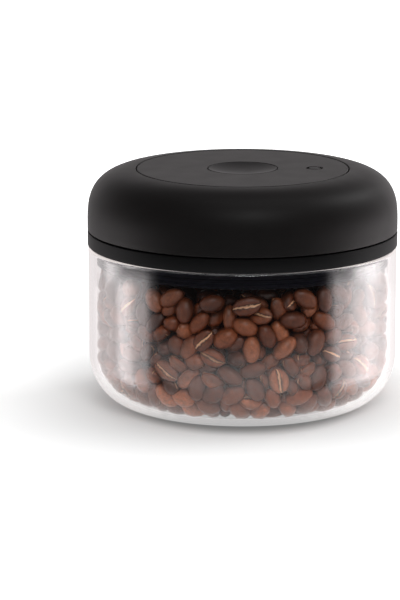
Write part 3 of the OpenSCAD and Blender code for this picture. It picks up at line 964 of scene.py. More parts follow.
@dataclass
class Spring(SubAssembly):
    """A compression spring of round steel wire that a joint shortens."""

    name: str
    node: str
    joint: str
    mid_r: float
    wire: float
    low: float
    high: float
    curls: int
    x: float = 0.0
    travel: float = 2.0
    steps: int = 40
    sides: int = 10

    def wound(self) -> Surface:
        """Winds the wire, with closed, level end turns.

        At the share s of its length the wire's middle is (x + R cos a, R sin a, z), with a = 2 pi
        curls s. Its height rises at a rate that grows from nothing over the first turn and falls
        back over the last. Round it, a circle of the wire's radius is spanned by the radial
        direction and the one square to that and to the wire.

        Returns:
            The points, and the arrays of faces.
        """
        count = self.curls * self.steps + 1
        s = np.linspace(0, 1, count)
        rate = (np.minimum(s, 1 - s) * self.curls).clip(0, 1)
        climb = np.concatenate([[0.0], np.cumsum((rate[1:] + rate[:-1]) / 2)])
        z = self.low + self.wire / 2 + (self.high - self.low - self.wire) * climb / climb[-1]
        a = 2 * math.pi * self.curls * s
        radial = np.stack([np.cos(a), np.sin(a), 0 * a], 1)
        middle = radial * self.mid_r + np.stack([self.x + 0 * a, 0 * a, z], 1)
        square = np.cross(np.gradient(middle, axis=0), radial)
        square /= np.linalg.norm(square, axis=1, keepdims=True)
        t = full_turn(self.sides)[None, :, None]
        ring = self.wire / 2 * (radial[:, None] * np.cos(t) + square[:, None] * np.sin(t))
        points = np.concatenate([(middle[:, None] + ring).reshape(-1, 3), middle[[0, -1]]])
        return points, tube_faces(count, self.sides)

    def build(self) -> None:
        """Makes the spring at rest, and gives it a mesh of its own."""
        piece = self.add(self.name, self.wound(), STAINLESS, Body.LID, Slot.STEEL, self.node)
        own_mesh(piece)


@dataclass
class GlassJar(SubAssembly):
    """The thick glass jar, turned from one closed outline of its outer and inner walls."""

    height: float = 62.0
    top_r: float = 59.8
    low_r: float = 59.6
    wall: float = 2.9
    floor: float = 2.4
    corner_reach: float = 17.3
    corner_rise: float = 19.8
    inner_reach: float = 15.5
    inner_rise: float = 17.4
    foot_w: float = 6.0
    recess: float = 0.7
    rim_round: float = 1.1
    wall_end: float = 0.3
    segments: int = 256

    def outline(self) -> np.ndarray:
        """Runs from the recess under the floor round the foot, wall and rim to the inner floor.

        A ring close to each end of the straight walls keeps their normals level, so that they
        mirror without a bulge.

        Returns:
            Rows of radius and height.
        """
        foot_r = self.low_r - self.corner_reach
        foot = rounded(
            (0.0, self.recess, 0.0),
            (foot_r - self.foot_w - self.recess, self.recess, 0.8),
            (foot_r - self.foot_w, 0.0, 0.4),
            (foot_r, 0.0, 0.0),
        )
        down, up = (np.linspace(0, math.pi / 2, steps) for steps in (60, 10))
        outer_mid = (foot_r, self.corner_rise)
        inner_mid = (self.low_r - self.wall - self.inner_reach, self.floor + self.inner_rise)
        wall_out = superellipse(outer_mid, self.corner_reach, -self.corner_rise, down[::-1])
        wall_in = superellipse(inner_mid, self.inner_reach, -self.inner_rise, down)
        curve, low = self.rim_round, self.height - self.rim_round
        rim_out = superellipse((self.top_r - curve, low), curve, curve, up)
        rim_in = superellipse((self.top_r - self.wall + curve, low), -curve, curve, up[::-1])
        end = np.array([[0.0, self.wall_end], [0.0, -self.wall_end]])
        straight_out = [wall_out[-1], rim_out[0]] + end
        straight_in = [rim_in[-1], wall_in[0]] - end
        middle = [[0.0, self.floor]]
        parts = [foot, wall_out, straight_out, rim_out, rim_in, straight_in, wall_in, middle]
        return without_doubles(np.concatenate(parts))

    def build(self) -> None:
        """Turns the jar and gives it its glass."""
        whole = revolve(self.outline(), self.segments)
        self.add("jar_clear_glass", whole, JAR_GLASS, Body.JAR, Slot.GLASS, "glass_jar")


@dataclass
class CoffeeFill(SubAssembly):
    """Coffee beans that fill the jar up to the lid's plug.

    Each bean is five balls that keep their shape. They start at random places, sink a little, and
    are pushed apart and back into the jar until they lie against each other. Beans whose middles
    lie farther apart than the reach can't touch. A ball at the radius even_r moves outwards as
    far as it sinks. Haste is the factor by which balls move farther than their overlap asks for.
    """

    count: int = 1640
    length: float = 10.3
    width: float = 7.3
    dome: float = 3.7
    flat: float = 2.1
    groove: float = 1.0
    groove_edge: float = 0.15
    sway: float = 0.45
    sway_rate: float = 1.9
    end_lift: float = 0.3
    round_degrees: tuple[int, ...] = (0, 8, 26, 55, 88, 125, 162)
    along_degrees: tuple[int, ...] = (-62, -33, 0, 33, 62)
    crease_degrees: float = 10.0
    tone_beta: float = 1.8
    chaff_beta: float = 0.7
    ring_u: Pair = (0.15, 0.85)
    spread: float = 0.06
    size_limits: Pair = (0.87, 1.13)
    seed: int = 11
    steps: int = 260
    last_steps: int = 40
    search_every: int = 8
    reach: float = 11.5
    sink: float = 0.014
    last_sink: float = 0.005
    even_r: float = 40.0
    haste: float = 1.5
    start_inset: Triple = (3.5, 2.5, 2.0)
    in_r: float = 56.6
    floor: float = 2.5
    top: float = 54.9
    corner_reach: float = 15.4
    corner_rise: float = 17.3
    side_depth: float = 17.0
    end_depth: float = 13.6
    top_layer: float = 7.0
    facing: float = 0.82
    balls: tuple[Triple, ...] = (
        (0.0, 0.0, 2.55),
        (2.75, 0.0, 2.3),
        (-2.75, 0.0, 2.3),
        (0.0, 1.6, 2.35),
        (0.0, -1.6, 2.35),
    )

    def settle(self) -> tuple[np.ndarray, np.ndarray, np.ndarray]:
        """Lets the beans settle.

        Each round moves every ball a little down and outwards, pushes apart each pair of balls of
        two beans that overlap by half of the overlap each, brings balls back inside the jar, and
        then fits each bean's rigid shape to its balls by the rotation that the singular values of
        their cross-covariance give.

        Returns:
            Each bean's centre, rotation matrix and size.
        """
        draw = np.random.default_rng(self.seed)
        n, table = self.count, np.array(self.balls)
        size = draw.normal(1.0, self.spread, (n, 3)).clip(*self.size_limits)
        rest = np.pad(table[:, :2], ((0, 0), (0, 1)))[None] * size[:, None, :]
        rad = table[:, 2][None] * size[:, 2:3]
        from_wall, from_floor, from_top = self.start_inset
        angle, out = draw.uniform(0, 2 * math.pi, n), np.sqrt(draw.uniform(0, 1, n))
        out *= self.in_r - from_wall
        height = draw.uniform(self.floor + from_floor, self.top - from_top, n)
        center = np.stack([out * np.cos(angle), out * np.sin(angle), height], 1)
        turn = np.linalg.qr(draw.normal(size=(n, 3, 3)))[0]
        turn[:, :, 2] *= np.linalg.det(turn)[:, None]
        ball = center[:, None] + np.einsum("nij,nkj->nki", turn, rest)
        k = len(table)
        i, j = (g.ravel() for g in np.meshgrid(np.arange(k), np.arange(k), indexing="ij"))
        rounds = self.steps
        for step in range(rounds):
            if step % self.search_every == 0:
                apart = ((center[:, None] - center[None]) ** 2).sum(-1)
                first, second = np.nonzero(np.triu(apart < self.reach**2, 1))
            sink = self.sink if step < rounds - self.last_steps else self.last_sink
            ball[..., 2] -= sink
            ball[..., :2] *= 1 + sink / self.even_r
            gap = ball[first][:, i] - ball[second][:, j]
            far = np.sqrt((gap**2).sum(-1)) + 1e-9
            over = rad[first][:, i] + rad[second][:, j] - far
            pair, combo = np.nonzero(over > 0)
            push = gap[pair, combo] * (0.5 * over[pair, combo] / far[pair, combo])[:, None]
            one, two = first[pair] * k + i[combo], second[pair] * k + j[combo]
            pushed = [np.bincount(one, way, n * k) - np.bincount(two, way, n * k) for way in push.T]
            met = np.bincount(one, minlength=n * k) + np.bincount(two, minlength=n * k)
            shift = self.haste * np.stack(pushed, 1) / np.maximum(met, 1)[:, None]
            ball = self.kept_inside(ball + shift.reshape(n, k, 3), rad)
            center = ball.mean(1)
            cross = np.einsum("nki,nkj->nij", ball - center[:, None], rest) + turn * 1e-3
            u, _, v = np.linalg.svd(cross)
            u[:, :, 2] *= np.linalg.det(u @ v)[:, None]
            turn = u @ v
            ball = center[:, None] + np.einsum("nij,nkj->nki", turn, rest)
        return center, turn, size

    def kept_inside(self, ball: np.ndarray, rad: np.ndarray) -> np.ndarray:
        """Moves points back inside the jar, each by its own distance from the wall.

        The jar's inside is a cylinder whose bottom corner is a quarter of an ellipse. A point
        outside the ellipse, shrunk by the ball's radius, is drawn in towards its centre.

        Args:
            ball: Points, with x, y and z last.
            rad: The distance that each point keeps from the wall.

        Returns:
            The moved points.
        """
        ball = ball.copy()
        ball[..., 2] = ball[..., 2].clip(self.floor + rad, self.top - rad)
        r, z = np.hypot(ball[..., 0], ball[..., 1]), ball[..., 2]
        mid_r, mid_z = self.in_r - self.corner_reach, self.floor + self.corner_rise
        side = (r - mid_r).clip(0) / (self.corner_reach - rad)
        down = (mid_z - z).clip(0) / (self.corner_rise - rad)
        length = np.sqrt(side**2 + down**2).clip(1e-9)
        bent = (side > 0) & (down > 0) & (length > 1)
        new_r = np.where(bent, mid_r + (r - mid_r) / length, np.minimum(r, self.in_r - rad))
        ball[..., 2] = np.where(bent, mid_z - (mid_z - z) / length, z)
        ball[..., :2] *= (new_r / r.clip(1e-9))[..., None]
        return ball

    def shape(self) -> tuple[np.ndarray, np.ndarray]:
        """Makes one bean: a dome above, a flat side with a crease below, and two round ends.

        The ring at x = (length / 2) sin u has the size s = cos u. At the angle t from the bottom
        its points are y = (width / 2) s sin t and z = dome s (-cos t) above the middle, or
        -flat s cos^0.5 t below it. The point at t = 0 is lifted by the crease's depth, and the
        crease sways to both sides as the sine of u times its rate.

        Returns:
            The points of the rings and then of the two ends, and each ring point's share of a
            turn from the crease.
        """
        half = np.array(self.round_degrees)
        t = np.radians(np.concatenate([half, 360 - half[:0:-1]]))
        u = np.radians(self.along_degrees)[:, None]
        s, x = np.cos(u), self.length / 2 * np.sin(u)
        near = np.cos(t) > math.cos(math.radians(self.crease_degrees))
        low = -self.flat * np.cos(t).clip(0) ** 0.5
        z = np.where(np.cos(t) > 0, low, -self.dome * np.cos(t))
        z = z + np.where(t == 0, self.groove, self.groove_edge * near)
        y = s * (self.width / 2 * np.sin(t)) + self.sway * np.sin(u * self.sway_rate) * near
        rings = np.stack([x + 0 * t, y, s * z], -1).reshape(-1, 3)
        ends = [[-self.length / 2, 0, self.end_lift], [self.length / 2, 0, self.end_lift]]
        return np.concatenate([rings, ends]), t / (2 * math.pi)

    def near_surface(self, center: np.ndarray) -> np.ndarray:
        """Tells which beans lie near the jar's wall, its floor or the top of the heap.

        Args:
            center: The beans' centres.

        Returns:
            False for the beans of the core, which no view reaches.
        """
        to_wall = self.in_r - np.hypot(center[:, 0], center[:, 1])
        to_end = np.minimum(center[:, 2] - self.floor, self.top - center[:, 2])
        return (to_wall < self.side_depth) | (to_end < self.end_depth)

    def faced(self, center: np.ndarray, turn: np.ndarray, draw: np.random.Generator) -> np.ndarray:
        """Rolls beans over, so that most lie with their dome against the wall or on top.

        Args:
            center: The beans' centres.
            turn: Their rotation matrices.
            draw: The random generator that picks the beans which show their crease.

        Returns:
            The new rotation matrices.
        """
        out = center * (1.0, 1.0, 0.0)
        out[center[:, 2] > self.top - self.top_layer] = (0.0, 0.0, 1.0)
        domed = np.where((out * turn[:, :, 2]).sum(1) < 0, -1.0, 1.0)
        flip = np.where(draw.uniform(size=len(center)) < self.facing, domed, -domed)
        return turn * np.stack([np.ones(len(center)), flip, flip], 1)[:, None, :]

    def build(self) -> None:
        """Settles the beans and makes them one mesh, with a tone and a UV map for each.

        A bean that reaches through the wall is moved in whole, as far along each axis as its
        point that moves most there, and its points are then kept inside one by one.
        """
        settled = self.settle()
        shown = self.near_surface(settled[0])
        center, turn, size = (values[shown] for values in settled)
        points, around = self.shape()
        draw = np.random.default_rng(self.seed + 1)
        turn = self.faced(center, turn, draw)
        placed = center[:, None] + np.einsum("nij,nkj->nki", turn, points[None] * size[:, None, :])
        on_wall = np.zeros(placed.shape[:2])
        step = self.kept_inside(placed, on_wall) - placed
        most = np.take_along_axis(step, np.abs(step).argmax(1, keepdims=True), 1)
        placed = self.kept_inside(placed + most, on_wall)
        rows = len(points) // len(around)
        start = np.arange(len(center))[:, None, None] * len(points)
        single = tube_faces(rows, len(around))
        faces = [(f[None] + start).reshape(-1, f.shape[1]) for f in single]
        heap = (placed.reshape(-1, 3), faces)
        piece = self.add("coffee_beans", heap, BEANS, Body.JAR, None)
        self.mark(piece, around, rows, draw)
        LOG.info("kept %d of %d beans", len(center), self.count)

    def mark(
        self, piece: bpy.types.Object, around: np.ndarray, rows: int, draw: np.random.Generator
    ) -> None:
        """Writes each bean's tone, its chaff, and a UV map with the crease at V = one half.

        U runs along the bean. V runs round it from the middle of the dome, so that it is one half
        at the crease. A face beyond the dome's middle keeps counting past 1, and an end takes the
        mean V of the face's ring points.

        Args:
            piece: The beans.
            around: Each ring point's share of a turn from the crease.
            rows: Number of rings.
            draw: The random generator for the tones.
        """
        mesh, k = piece.data, len(around)
        m = rows * k + 2
        n = len(mesh.vertices) // m
        for name, beta in (("tone", self.tone_beta), ("chaff", self.chaff_beta)):
            values = np.repeat(draw.beta(beta, beta, n), m).astype(np.float32)
            mesh.attributes.new(name, "FLOAT", "POINT").data.foreach_set("value", values)
        corner = np.zeros(len(mesh.loops), np.int32)
        mesh.loops.foreach_get("vertex_index", corner)
        own = corner % m
        v = np.append((np.tile(around, rows) + 0.5) % 1.0, [0.0, 0.0])[own]
        u = np.concatenate([np.repeat(np.linspace(*self.ring_u, rows), k), [0.0, 1.0]])[own]
        sizes = np.zeros(len(mesh.polygons), np.int32)
        mesh.polygons.foreach_get("loop_total", sizes)
        face = np.repeat(np.arange(len(sizes)), sizes)
        ring = own < rows * k
        highest = np.full(len(sizes), -1.0)
        np.maximum.at(highest, face, np.where(ring, v, -1.0))
        v = np.where(ring & (highest[face] - v > 0.5), v + 1.0, v)
        mean = np.bincount(face, v * ring) / np.bincount(face, ring.astype(float))
        v = np.where(ring, v, mean[face])
        uv = mesh.uv_layers.new(name="bean_uv")
        uv.data.foreach_set("uv", np.stack([u, v], 1).astype(np.float32).ravel())


@dataclass
class LidBase(SubAssembly):
    """The fixed lower half of the lid: ring, plug, gasket, cover, filters and intake valves."""

    plug_r: float = 54.5
    gasket_out: float = 55.7
    lip_r: float = 56.4
    seat_r: float = 59.2
    gasket_low: float = 55.75
    jar_h: float = 62.0
    seat_z: float = 63.0
    lip_pitch: float = 1.7167
    lips: int = 3
    pad_r: float = 6.5
    pad_margin: float = 1.0
    pad_low: float = 56.45
    pad_t: float = 0.5
    pad_edge: float = 0.2
    pad_wave: float = 0.03
    pump_r: float = 26.5
    segments: int = 256

    def gasket_outline(self) -> np.ndarray:
        """Runs up the sleeve's outer side with its three lips, over the flange and back down.

        Returns:
            Rows of radius and height.
        """
        corners = [(self.plug_r, self.gasket_low, 0.05)]
        for step in range(self.lips):
            z = self.gasket_low + self.lip_pitch * step
            corners += [
                (self.gasket_out, z + 0.02, 0.12),
                (self.lip_r, z + self.lip_pitch * 0.5, 0.14),
                (self.lip_r, z + self.lip_pitch * 0.72, 0.14),
                (self.gasket_out, z + self.lip_pitch * 0.78, 0.08),
            ]
        corners += [
            (self.gasket_out, self.jar_h, 0.3),
            (self.seat_r, self.jar_h, 0.2),
            (self.seat_r, self.seat_z, 0.2),
            (self.plug_r, self.seat_z, 0.05),
        ]
        return rounded(*corners)

    def pad(self, y: float) -> Surface:
        """Makes one round felt pad with a soft edge and a slightly uneven top.

        Args:
            y: Where its middle lies along Y.

        Returns:
            Its points and faces.
        """
        low, high = self.pad_low, self.pad_low + self.pad_t
        rows = np.linspace(0, self.pad_r - self.pad_margin, 12)[1:, None]
        flat = np.concatenate([rows, np.full_like(rows, high)], 1)
        near_r = self.pad_r - 0.9 * self.pad_margin
        side = rounded(
            (near_r, high, 0.0),
            (self.pad_r, high, self.pad_edge),
            (self.pad_r, low, self.pad_edge),
            (near_r, low, 0.0),
        )
        under = flat[::-1] - [0.0, self.pad_t]
        outline = np.concatenate([[[0.0, high]], flat, side, under, [[0.0, low]]])
        points, faces = revolve(without_doubles(outline), 64, (0.0, y))
        x, y, z = points.T
        wave = self.pad_wave * np.sin(x * 2.1) * np.sin(y * 1.7 + 0.6) - self.pad_wave
        points[:, 2] += np.where(z > low + 0.4 * self.pad_t, wave, 0.0)
        return points, faces

    def build(self) -> None:
        """Makes the gasket and the pads, and dresses the nodes that stay."""
        gasket = revolve(self.gasket_outline(), self.segments)
        self.add("gasket_ring", gasket, GASKET_SILICONE, Body.LID, Slot.GASKET, "lid_gasket")
        pads = joined([self.pad(-self.pump_r), self.pad(self.pump_r)])
        self.add("filter_pads", pads, FELT, Body.LID, Slot.FELT, "intake_filters")
        self.dress(RING_ABS, "lid_base", "underside_cover")
        self.dress(VALVE_SILICONE, "intake_valve_front", "intake_valve_back")


@dataclass
class TwistShell(SubAssembly):
    """The domed shell that turns, with the cam ring and screws under it."""

    radius: float = 60.0
    low: float = 68.25
    straight: float = 3.2
    rise: float = 20.5
    dome_r: float = 36.1
    power: float = 2.94
    crowding: float = 1.6
    wall: float = 2.6
    opening_r: float = 41.3
    collar_r: float = 44.9
    collar_z: float = 87.85
    edge: float = 0.4
    hem: float = 0.5
    boss_circle: float = 48.6
    boss_r: float = 2.6
    boss_low: float = 85.05
    boss_high: float = 88.0
    segments: int = 288

    def dome(self, inset: float, stop: float, steps: int) -> np.ndarray:
        """Follows the dome up from its foot, with its points closest together at the foot.

        Args:
            inset: How far it lies under the outer surface.
            stop: The radius at which it ends.
            steps: Number of points.

        Returns:
            Rows of radius and height.
        """
        reach = self.radius - self.dome_r - inset
        last = math.acos(((stop - self.dome_r) / reach) ** (self.power / 2))
        t = last * np.linspace(0, 1, steps) ** self.crowding
        middle = (self.dome_r, self.low + self.straight)
        return superellipse(middle, reach, self.rise - inset, t, self.power)

    def outline(self) -> np.ndarray:
        """Runs up the outside, over the dome to the disc's opening, and back down the inside.

        Returns:
            Rows of radius and height.
        """
        outer = self.dome(0.0, self.opening_r + self.edge, 150)
        inner = self.dome(self.wall, self.collar_r, 60)
        lower = rounded(
            (self.radius - self.wall, self.low, 0.0),
            (self.radius, self.low, self.hem),
            (self.radius, self.low + self.straight, 0.0),
        )
        upper = rounded(
            (self.opening_r + self.edge, outer[-1, 1], 0.0),
            (self.opening_r, outer[-1, 1], self.edge * 0.95),
            (self.opening_r, self.collar_z, 0.2),
            (self.collar_r, self.collar_z, 0.0),
        )
        return without_doubles(np.concatenate([lower, outer, upper, inner[::-1]]))

    def boss(self, degrees: float) -> Surface:
        """Makes one screw boss under the dome.

        Args:
            degrees: Its angle about the lid's axis.

        Returns:
            Its points and faces.
        """
        outline = rounded(
            (0.0, self.boss_low, 0.0),
            (self.boss_r, self.boss_low, 0.2),
            (self.boss_r, self.boss_high, 0.0),
            (0.0, self.boss_high, 0.0),
        )
        a = math.radians(degrees)
        place = (self.boss_circle * math.cos(a), self.boss_circle * math.sin(a))
        return revolve(outline, 32, place)

    def build(self) -> None:
        """Turns the shell, and dresses the cam ring and its screws."""
        bosses = [self.boss(angle) for angle in (45, 135, 225, 315)]
        whole = joined([revolve(self.outline(), self.segments), *bosses])
        self.add("domed_twist_shell", whole, SOFT_TOUCH, Body.SHELL, Slot.LID, "twist_shell")
        self.dress(ACETAL, "cam_ring")
        self.dress(STAINLESS, "cam_screws")


class TopFrame(SubAssembly):
    """The fixed frame in the lid, with the flat top disc that it carries."""

    def build(self) -> None:
        """Dresses the frame, the disc, the glide ring and the screws."""
        self.dress(SOFT_TOUCH, "top_disc")
        self.dress(FRAME_NYLON, "chassis")
        self.dress(ACETAL, "glide_ring")
        self.dress(STAINLESS, "frame_screws", "disc_screws")


@dataclass
class ReleaseValve(SubAssembly):
    """The dished push button with its stem, seal and spring."""

    radius: float = 13.3
    top: float = 91.8
    dish: float = 1.3
    edge: float = 0.2
    skirt: float = 1.5
    skirt_z: float = 80.8
    under_z: float = 88.6
    boss_r: float = 3.6
    boss_h: float = 4.0
    hole_r: float = 2.02
    hole_h: float = 3.0
    spring_low: float = 78.4
    segments: int = 160

    def outline(self) -> np.ndarray:
        """Runs from the dish's middle over the rim and skirt to the hole for the stem.

        The dish is a parabola: z = top - dish (1 - (r / rim)^2).

        Returns:
            Rows of radius and height.
        """
        rim = self.radius - self.edge
        x = np.linspace(0, 1, 40)
        dish = np.stack([rim * x, self.top - self.dish * (1 - x**2)], 1)
        boss_z = self.under_z - self.boss_h
        rest = rounded(
            (rim, self.top, 0.0),
            (self.radius, self.top, self.edge * 0.97),
            (self.radius, self.skirt_z, 0.3),
            (self.radius - self.skirt, self.skirt_z, 0.2),
            (self.radius - self.skirt, self.under_z, 0.5),
            (self.boss_r, self.under_z, 0.4),
            (self.boss_r, boss_z, 0.2),
            (self.hole_r, boss_z, 0.1),
            (self.hole_r, boss_z + self.hole_h, 0.1),
            (0.0, boss_z + self.hole_h, 0.0),
        )
        return without_doubles(np.concatenate([dish, rest]))

    def build(self) -> None:
        """Turns the button, winds its spring, and dresses its stem and seal."""
        whole = revolve(self.outline(), self.segments)
        self.add("dished_button", whole, BUTTON_ABS, Body.BUTTON, Slot.BUTTON, "release_button")
        self.dress(ACETAL, "release_stem")
        self.dress(VALVE_SILICONE, "release_seal")
        Spring(
            "button_return_spring",
            "button_spring",
            "button_press",
            mid_r=7.6,
            wire=1.0,
            low=self.spring_low,
            high=self.under_z,
            curls=5,
        ).build()


class Indicator(SubAssembly):
    """The small pin that drops when the jar holds a vacuum."""

    def build(self) -> None:
        """Winds the spring, and dresses the pin, its seal and its cap."""
        Spring(
            "pin_return_spring",
            "indicator_spring",
            "indicator_drop",
            mid_r=3.0,
            wire=0.5,
            low=60.0,
            high=65.8,
            curls=4,
            x=27.8,
        ).build()
        self.dress(BUTTON_ABS, "indicator_pin")
        self.dress(NITRILE, "indicator_seal")
        self.dress(ACETAL, "indicator_cap")


class Pumps(SubAssembly):
    """The two pistons with their seals, follower pins and exhaust valves."""

    def build(self) -> None:
        """Dresses both pistons and what they carry."""
        for end in ("front", "back"):
            self.dress(ACETAL, f"piston_{end}")
            self.dress(NITRILE, f"piston_seal_{end}")
            self.dress(STAINLESS, f"follower_pin_{end}")
            self.dress(VALVE_SILICONE, f"exhaust_valve_{end}")


@dataclass(frozen=True)
class SoftBox:
    """A rectangular softbox that faces the object.

    Its place is given by its azimuth, from the front towards the right, its elevation and its
    distance. Its radiance is 1 where a white sheet would be that bright. Gloss and glass leave
    out a box that isn't mirrored, because the surround shows them one in its place.
    """

    name: str
    azimuth: float
    elevation: float
    distance: float
    width: float
    height: float
    radiance: float
    mirrored: bool = True
    aim_z: float = 0.05

    def build(self) -> None:
        """Makes the lamp. Its power is its radiance times pi times its area."""
        data = bpy.data.lights.new(self.name, "AREA")
        data.shape = "RECTANGLE"
        data.size, data.size_y = self.width, self.height
        data.energy = self.radiance * math.pi * self.width * self.height
        lamp = linked(self.name, data)
        turn, lean = math.radians(self.azimuth), math.radians(self.elevation)
        level = self.distance * math.cos(lean)
        height = self.aim_z + self.distance * math.sin(lean)
        lamp.location = (level * math.sin(turn), -level * math.cos(turn), height)
        lamp.rotation_euler = (math.pi / 2 - lean, 0.0, turn)
        lamp.visible_camera = False
        lamp.visible_glossy = lamp.visible_transmission = self.mirrored


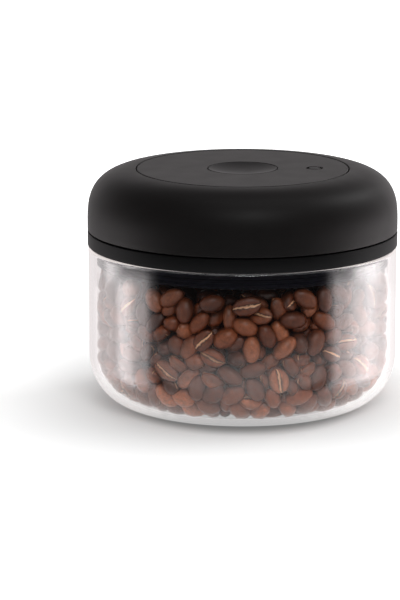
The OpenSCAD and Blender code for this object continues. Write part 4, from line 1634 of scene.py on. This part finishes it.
@dataclass
class Studio:
    """A pale floor, softboxes, a plain white surround and the camera of the photograph.

    The surround's curves are azimuths in degrees, from the front towards the right, each with its
    radiance. Its heights and reaches are sines of the elevation.
    """

    camera_y: float = -1.4754
    camera_z: float = 0.3542
    lens: float = 232.7
    sensor: float = 36.0
    clip_end: float = 20.0
    pitch: float = 12.035
    yaw: float = 0.639
    floor_r: float = 4.0
    floor_sides: int = 96
    fill: float = 0.3
    gloss_tint: str = "#fff9fa"
    low_reach: tuple[float, float, float, float] = (-0.8, -0.36, -0.2085, -0.204)
    high_reach: tuple[float, float, float, float] = (-0.2085, -0.204, -0.185, -0.12)
    backdrop_heights: tuple[Triple, ...] = (
        (-0.12, 0.1, 1.35),
        (0.15, 0.6, 0.12),
    )
    boxes: tuple[SoftBox, ...] = (
        SoftBox("top_box", 90.0, 88.0, 1.05, 0.6, 0.5, 1.2),
        SoftBox("right_key", 121.0, 39.0, 1.27, 0.45, 0.45, 6.0),
        SoftBox("front_key", 10.0, 46.0, 1.32, 0.5, 0.35, 9.0),
        SoftBox("left_side", -100.0, 14.0, 1.0, 0.5, 0.6, 2.4, mirrored=False),
        SoftBox("right_side", 95.0, 14.0, 1.0, 0.5, 0.6, 3.6, mirrored=False),
    )
    backdrop: Curve = (
        (-180.0, 0.88), (-150.0, 0.83), (-125.0, 0.46), (-95.0, 0.03), (95.0, 0.03), (122.0, 0.68),
        (145.0, 1.0), (165.0, 0.94), (180.0, 0.88),
    )
    low_strips: Curve = (
        (-180.0, 0.0), (-150.0, 0.0), (-135.0, 0.6), (-122.0, 1.6), (-111.0, 2.3), (-106.0, 4.9),
        (-96.0, 5.4), (-90.0, 3.4), (-78.0, 2.6), (-73.0, 0.6), (-66.0, 0.0), (60.0, 0.0),
        (66.0, 0.1), (72.0, 1.5), (76.0, 3.2), (84.0, 3.3), (92.0, 4.9), (112.0, 4.8),
        (122.0, 2.6), (130.0, 1.4), (148.0, 0.1), (180.0, 0.0),
    )
    high_strips: Curve = (
        (-180.0, 0.0), (-145.0, 0.0), (-128.0, 1.0), (-121.0, 3.0), (-114.0, 3.6), (-108.0, 2.7),
        (-101.0, 1.6), (-84.0, 1.0), (-75.0, 0.1), (-66.0, 0.0), (66.0, 0.0), (71.0, 0.4),
        (75.0, 1.0), (88.0, 2.0), (93.0, 4.1), (98.0, 6.5), (112.0, 6.1), (122.0, 3.6),
        (132.0, 1.2), (145.0, 0.0), (180.0, 0.0),
    )

    def build_camera(self) -> None:
        """Makes the camera: level, turned a little left and looking down at the jar."""
        data = bpy.data.cameras.new("camera")
        data.lens, data.sensor_width = self.lens, self.sensor
        data.clip_end = self.clip_end
        camera = linked("camera", data)
        camera.location = (0.0, self.camera_y, self.camera_z)
        camera.rotation_euler = (math.radians(90 - self.pitch), 0.0, math.radians(self.yaw))
        bpy.context.scene.camera = camera

    def build_floor(self) -> None:
        """Makes the round floor."""
        a = full_turn(self.floor_sides)
        ring = np.stack([np.cos(a), np.sin(a), 0 * a], 1) * self.floor_r
        mesh = bpy.data.meshes.new("floor")
        mesh.from_pydata(ring.tolist(), [], [list(range(self.floor_sides))])
        mesh.materials.append(PAPER.material())
        floor = linked("floor", mesh)

    def around(self, tree: bpy.types.NodeTree, turn: bpy.types.NodeSocket, steps: Curve) -> dict:
        """Turns a list of azimuths and radiances into a soft curve round the horizon.

        Args:
            tree: The world's node tree.
            turn: The share of a turn, from behind by way of the left.
            steps: Azimuths in degrees, with their radiances.

        Returns:
            The two factors of the radiance, as a Math node's inputs.
        """
        brightest = max(radiance for _, radiance in steps)
        ramp = add_node(tree, "ShaderNodeValToRGB", {"Fac": turn})
        stops = ramp.color_ramp.elements
        stops.remove(stops[1])
        for number, (degrees, radiance) in enumerate(steps):
            stop = stops[0] if number < 1 else stops.new(degrees / 360 + 0.5)
            stop.position = degrees / 360 + 0.5
            stop.color = (*[radiance / brightest] * 3, 1.0)
        return {0: ramp.outputs["Color"], 1: brightest}

    def build_world(self) -> None:
        """Makes the surround: white to the camera, and a dim fill for the rest.

        Gloss and glass see a backdrop that is dark in front and pale behind and dims upwards, and
        the low light tables at both sides, whose inner parts end a little below their outer ones.
        """
        world = bpy.data.worlds.new("studio_surround")
        bpy.context.scene.world = world
        world.use_nodes = True
        tree = world.node_tree
        tree.nodes.clear()
        way = add_node(tree, "ShaderNodeTexCoord").outputs["Generated"]
        right, back, up = add_node(tree, "ShaderNodeSeparateXYZ", {"Vector": way}).outputs
        front = add_node(tree, "ShaderNodeMath", {0: back, 1: -1.0}, operation="MULTIPLY")
        azimuth = add_node(
            tree, "ShaderNodeMath", {0: right, 1: front.outputs[0]}, operation="ARCTAN2"
        ).outputs[0]
        turn = add_node(
            tree,
            "ShaderNodeMapRange",
            {"Value": azimuth, "From Min": -math.pi, "From Max": math.pi},
        ).outputs["Result"]
        curve = self.around(tree, turn, self.backdrop)
        level = add_node(tree, "ShaderNodeMath", curve, operation="MULTIPLY").outputs[0]
        for start, end, share in self.backdrop_heights:
            fade = add_node(
                tree,
                "ShaderNodeMapRange",
                {"Value": up, "From Min": start, "From Max": end, "To Min": 1.0, "To Max": share},
                interpolation_type="SMOOTHSTEP",
            ).outputs["Result"]
            level = add_node(
                tree, "ShaderNodeMath", {0: level, 1: fade}, operation="MULTIPLY"
            ).outputs[0]
        for strips, (start, full, last, end) in (
            (self.low_strips, self.low_reach),
            (self.high_strips, self.high_reach),
        ):
            rise = add_node(
                tree,
                "ShaderNodeMapRange",
                {"Value": up, "From Min": start, "From Max": full},
                interpolation_type="SMOOTHSTEP",
            ).outputs["Result"]
            fall = add_node(
                tree,
                "ShaderNodeMapRange",
                {"Value": up, "From Min": last, "From Max": end, "To Min": 1.0, "To Max": 0.0},
                interpolation_type="SMOOTHSTEP",
            ).outputs["Result"]
            window = add_node(
                tree, "ShaderNodeMath", {0: rise, 1: fall}, operation="MULTIPLY"
            ).outputs[0]
            curve = self.around(tree, turn, strips)
            light = add_node(tree, "ShaderNodeMath", curve, operation="MULTIPLY").outputs[0]
            level = add_node(
                tree, "ShaderNodeMath", {0: light, 1: window, 2: level}, operation="MULTIPLY_ADD"
            ).outputs[0]
        path = add_node(tree, "ShaderNodeLightPath").outputs
        shine = add_node(
            tree, "ShaderNodeMix", {0: path["Is Glossy Ray"], 2: self.fill, 3: level}
        ).outputs[0]
        strength = add_node(
            tree, "ShaderNodeMix", {0: path["Is Camera Ray"], 2: shine, 3: 1.0}
        ).outputs[0]
        tint = add_node(
            tree,
            "ShaderNodeMix",
            {0: path["Is Glossy Ray"], 6: linear("#ffffff"), 7: linear(self.gloss_tint)},
            data_type="RGBA",
        ).outputs[2]
        sky = add_node(tree, "ShaderNodeBackground", {"Color": tint, "Strength": strength})
        add_node(tree, "ShaderNodeOutputWorld", {"Surface": sky.outputs["Background"]})

    def build(self) -> None:
        """Builds the camera, floor, surround and softboxes."""
        self.build_camera()
        self.build_floor()
        self.build_world()
        for box in self.boxes:
            box.build()
        bpy.context.scene.view_settings.view_transform = "Standard"


def main() -> None:
    """Builds every sub-assembly and the studio."""
    logging.basicConfig(level=logging.INFO, format="%(name)s: %(message)s")
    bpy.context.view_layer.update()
    Studio().build()
    outer = (GlassJar(), CoffeeFill(), LidBase(), TwistShell(), TopFrame())
    for group in (*outer, ReleaseValve(), Indicator(), Pumps()):
        group.build()


if __name__ == "__main__":
    main()
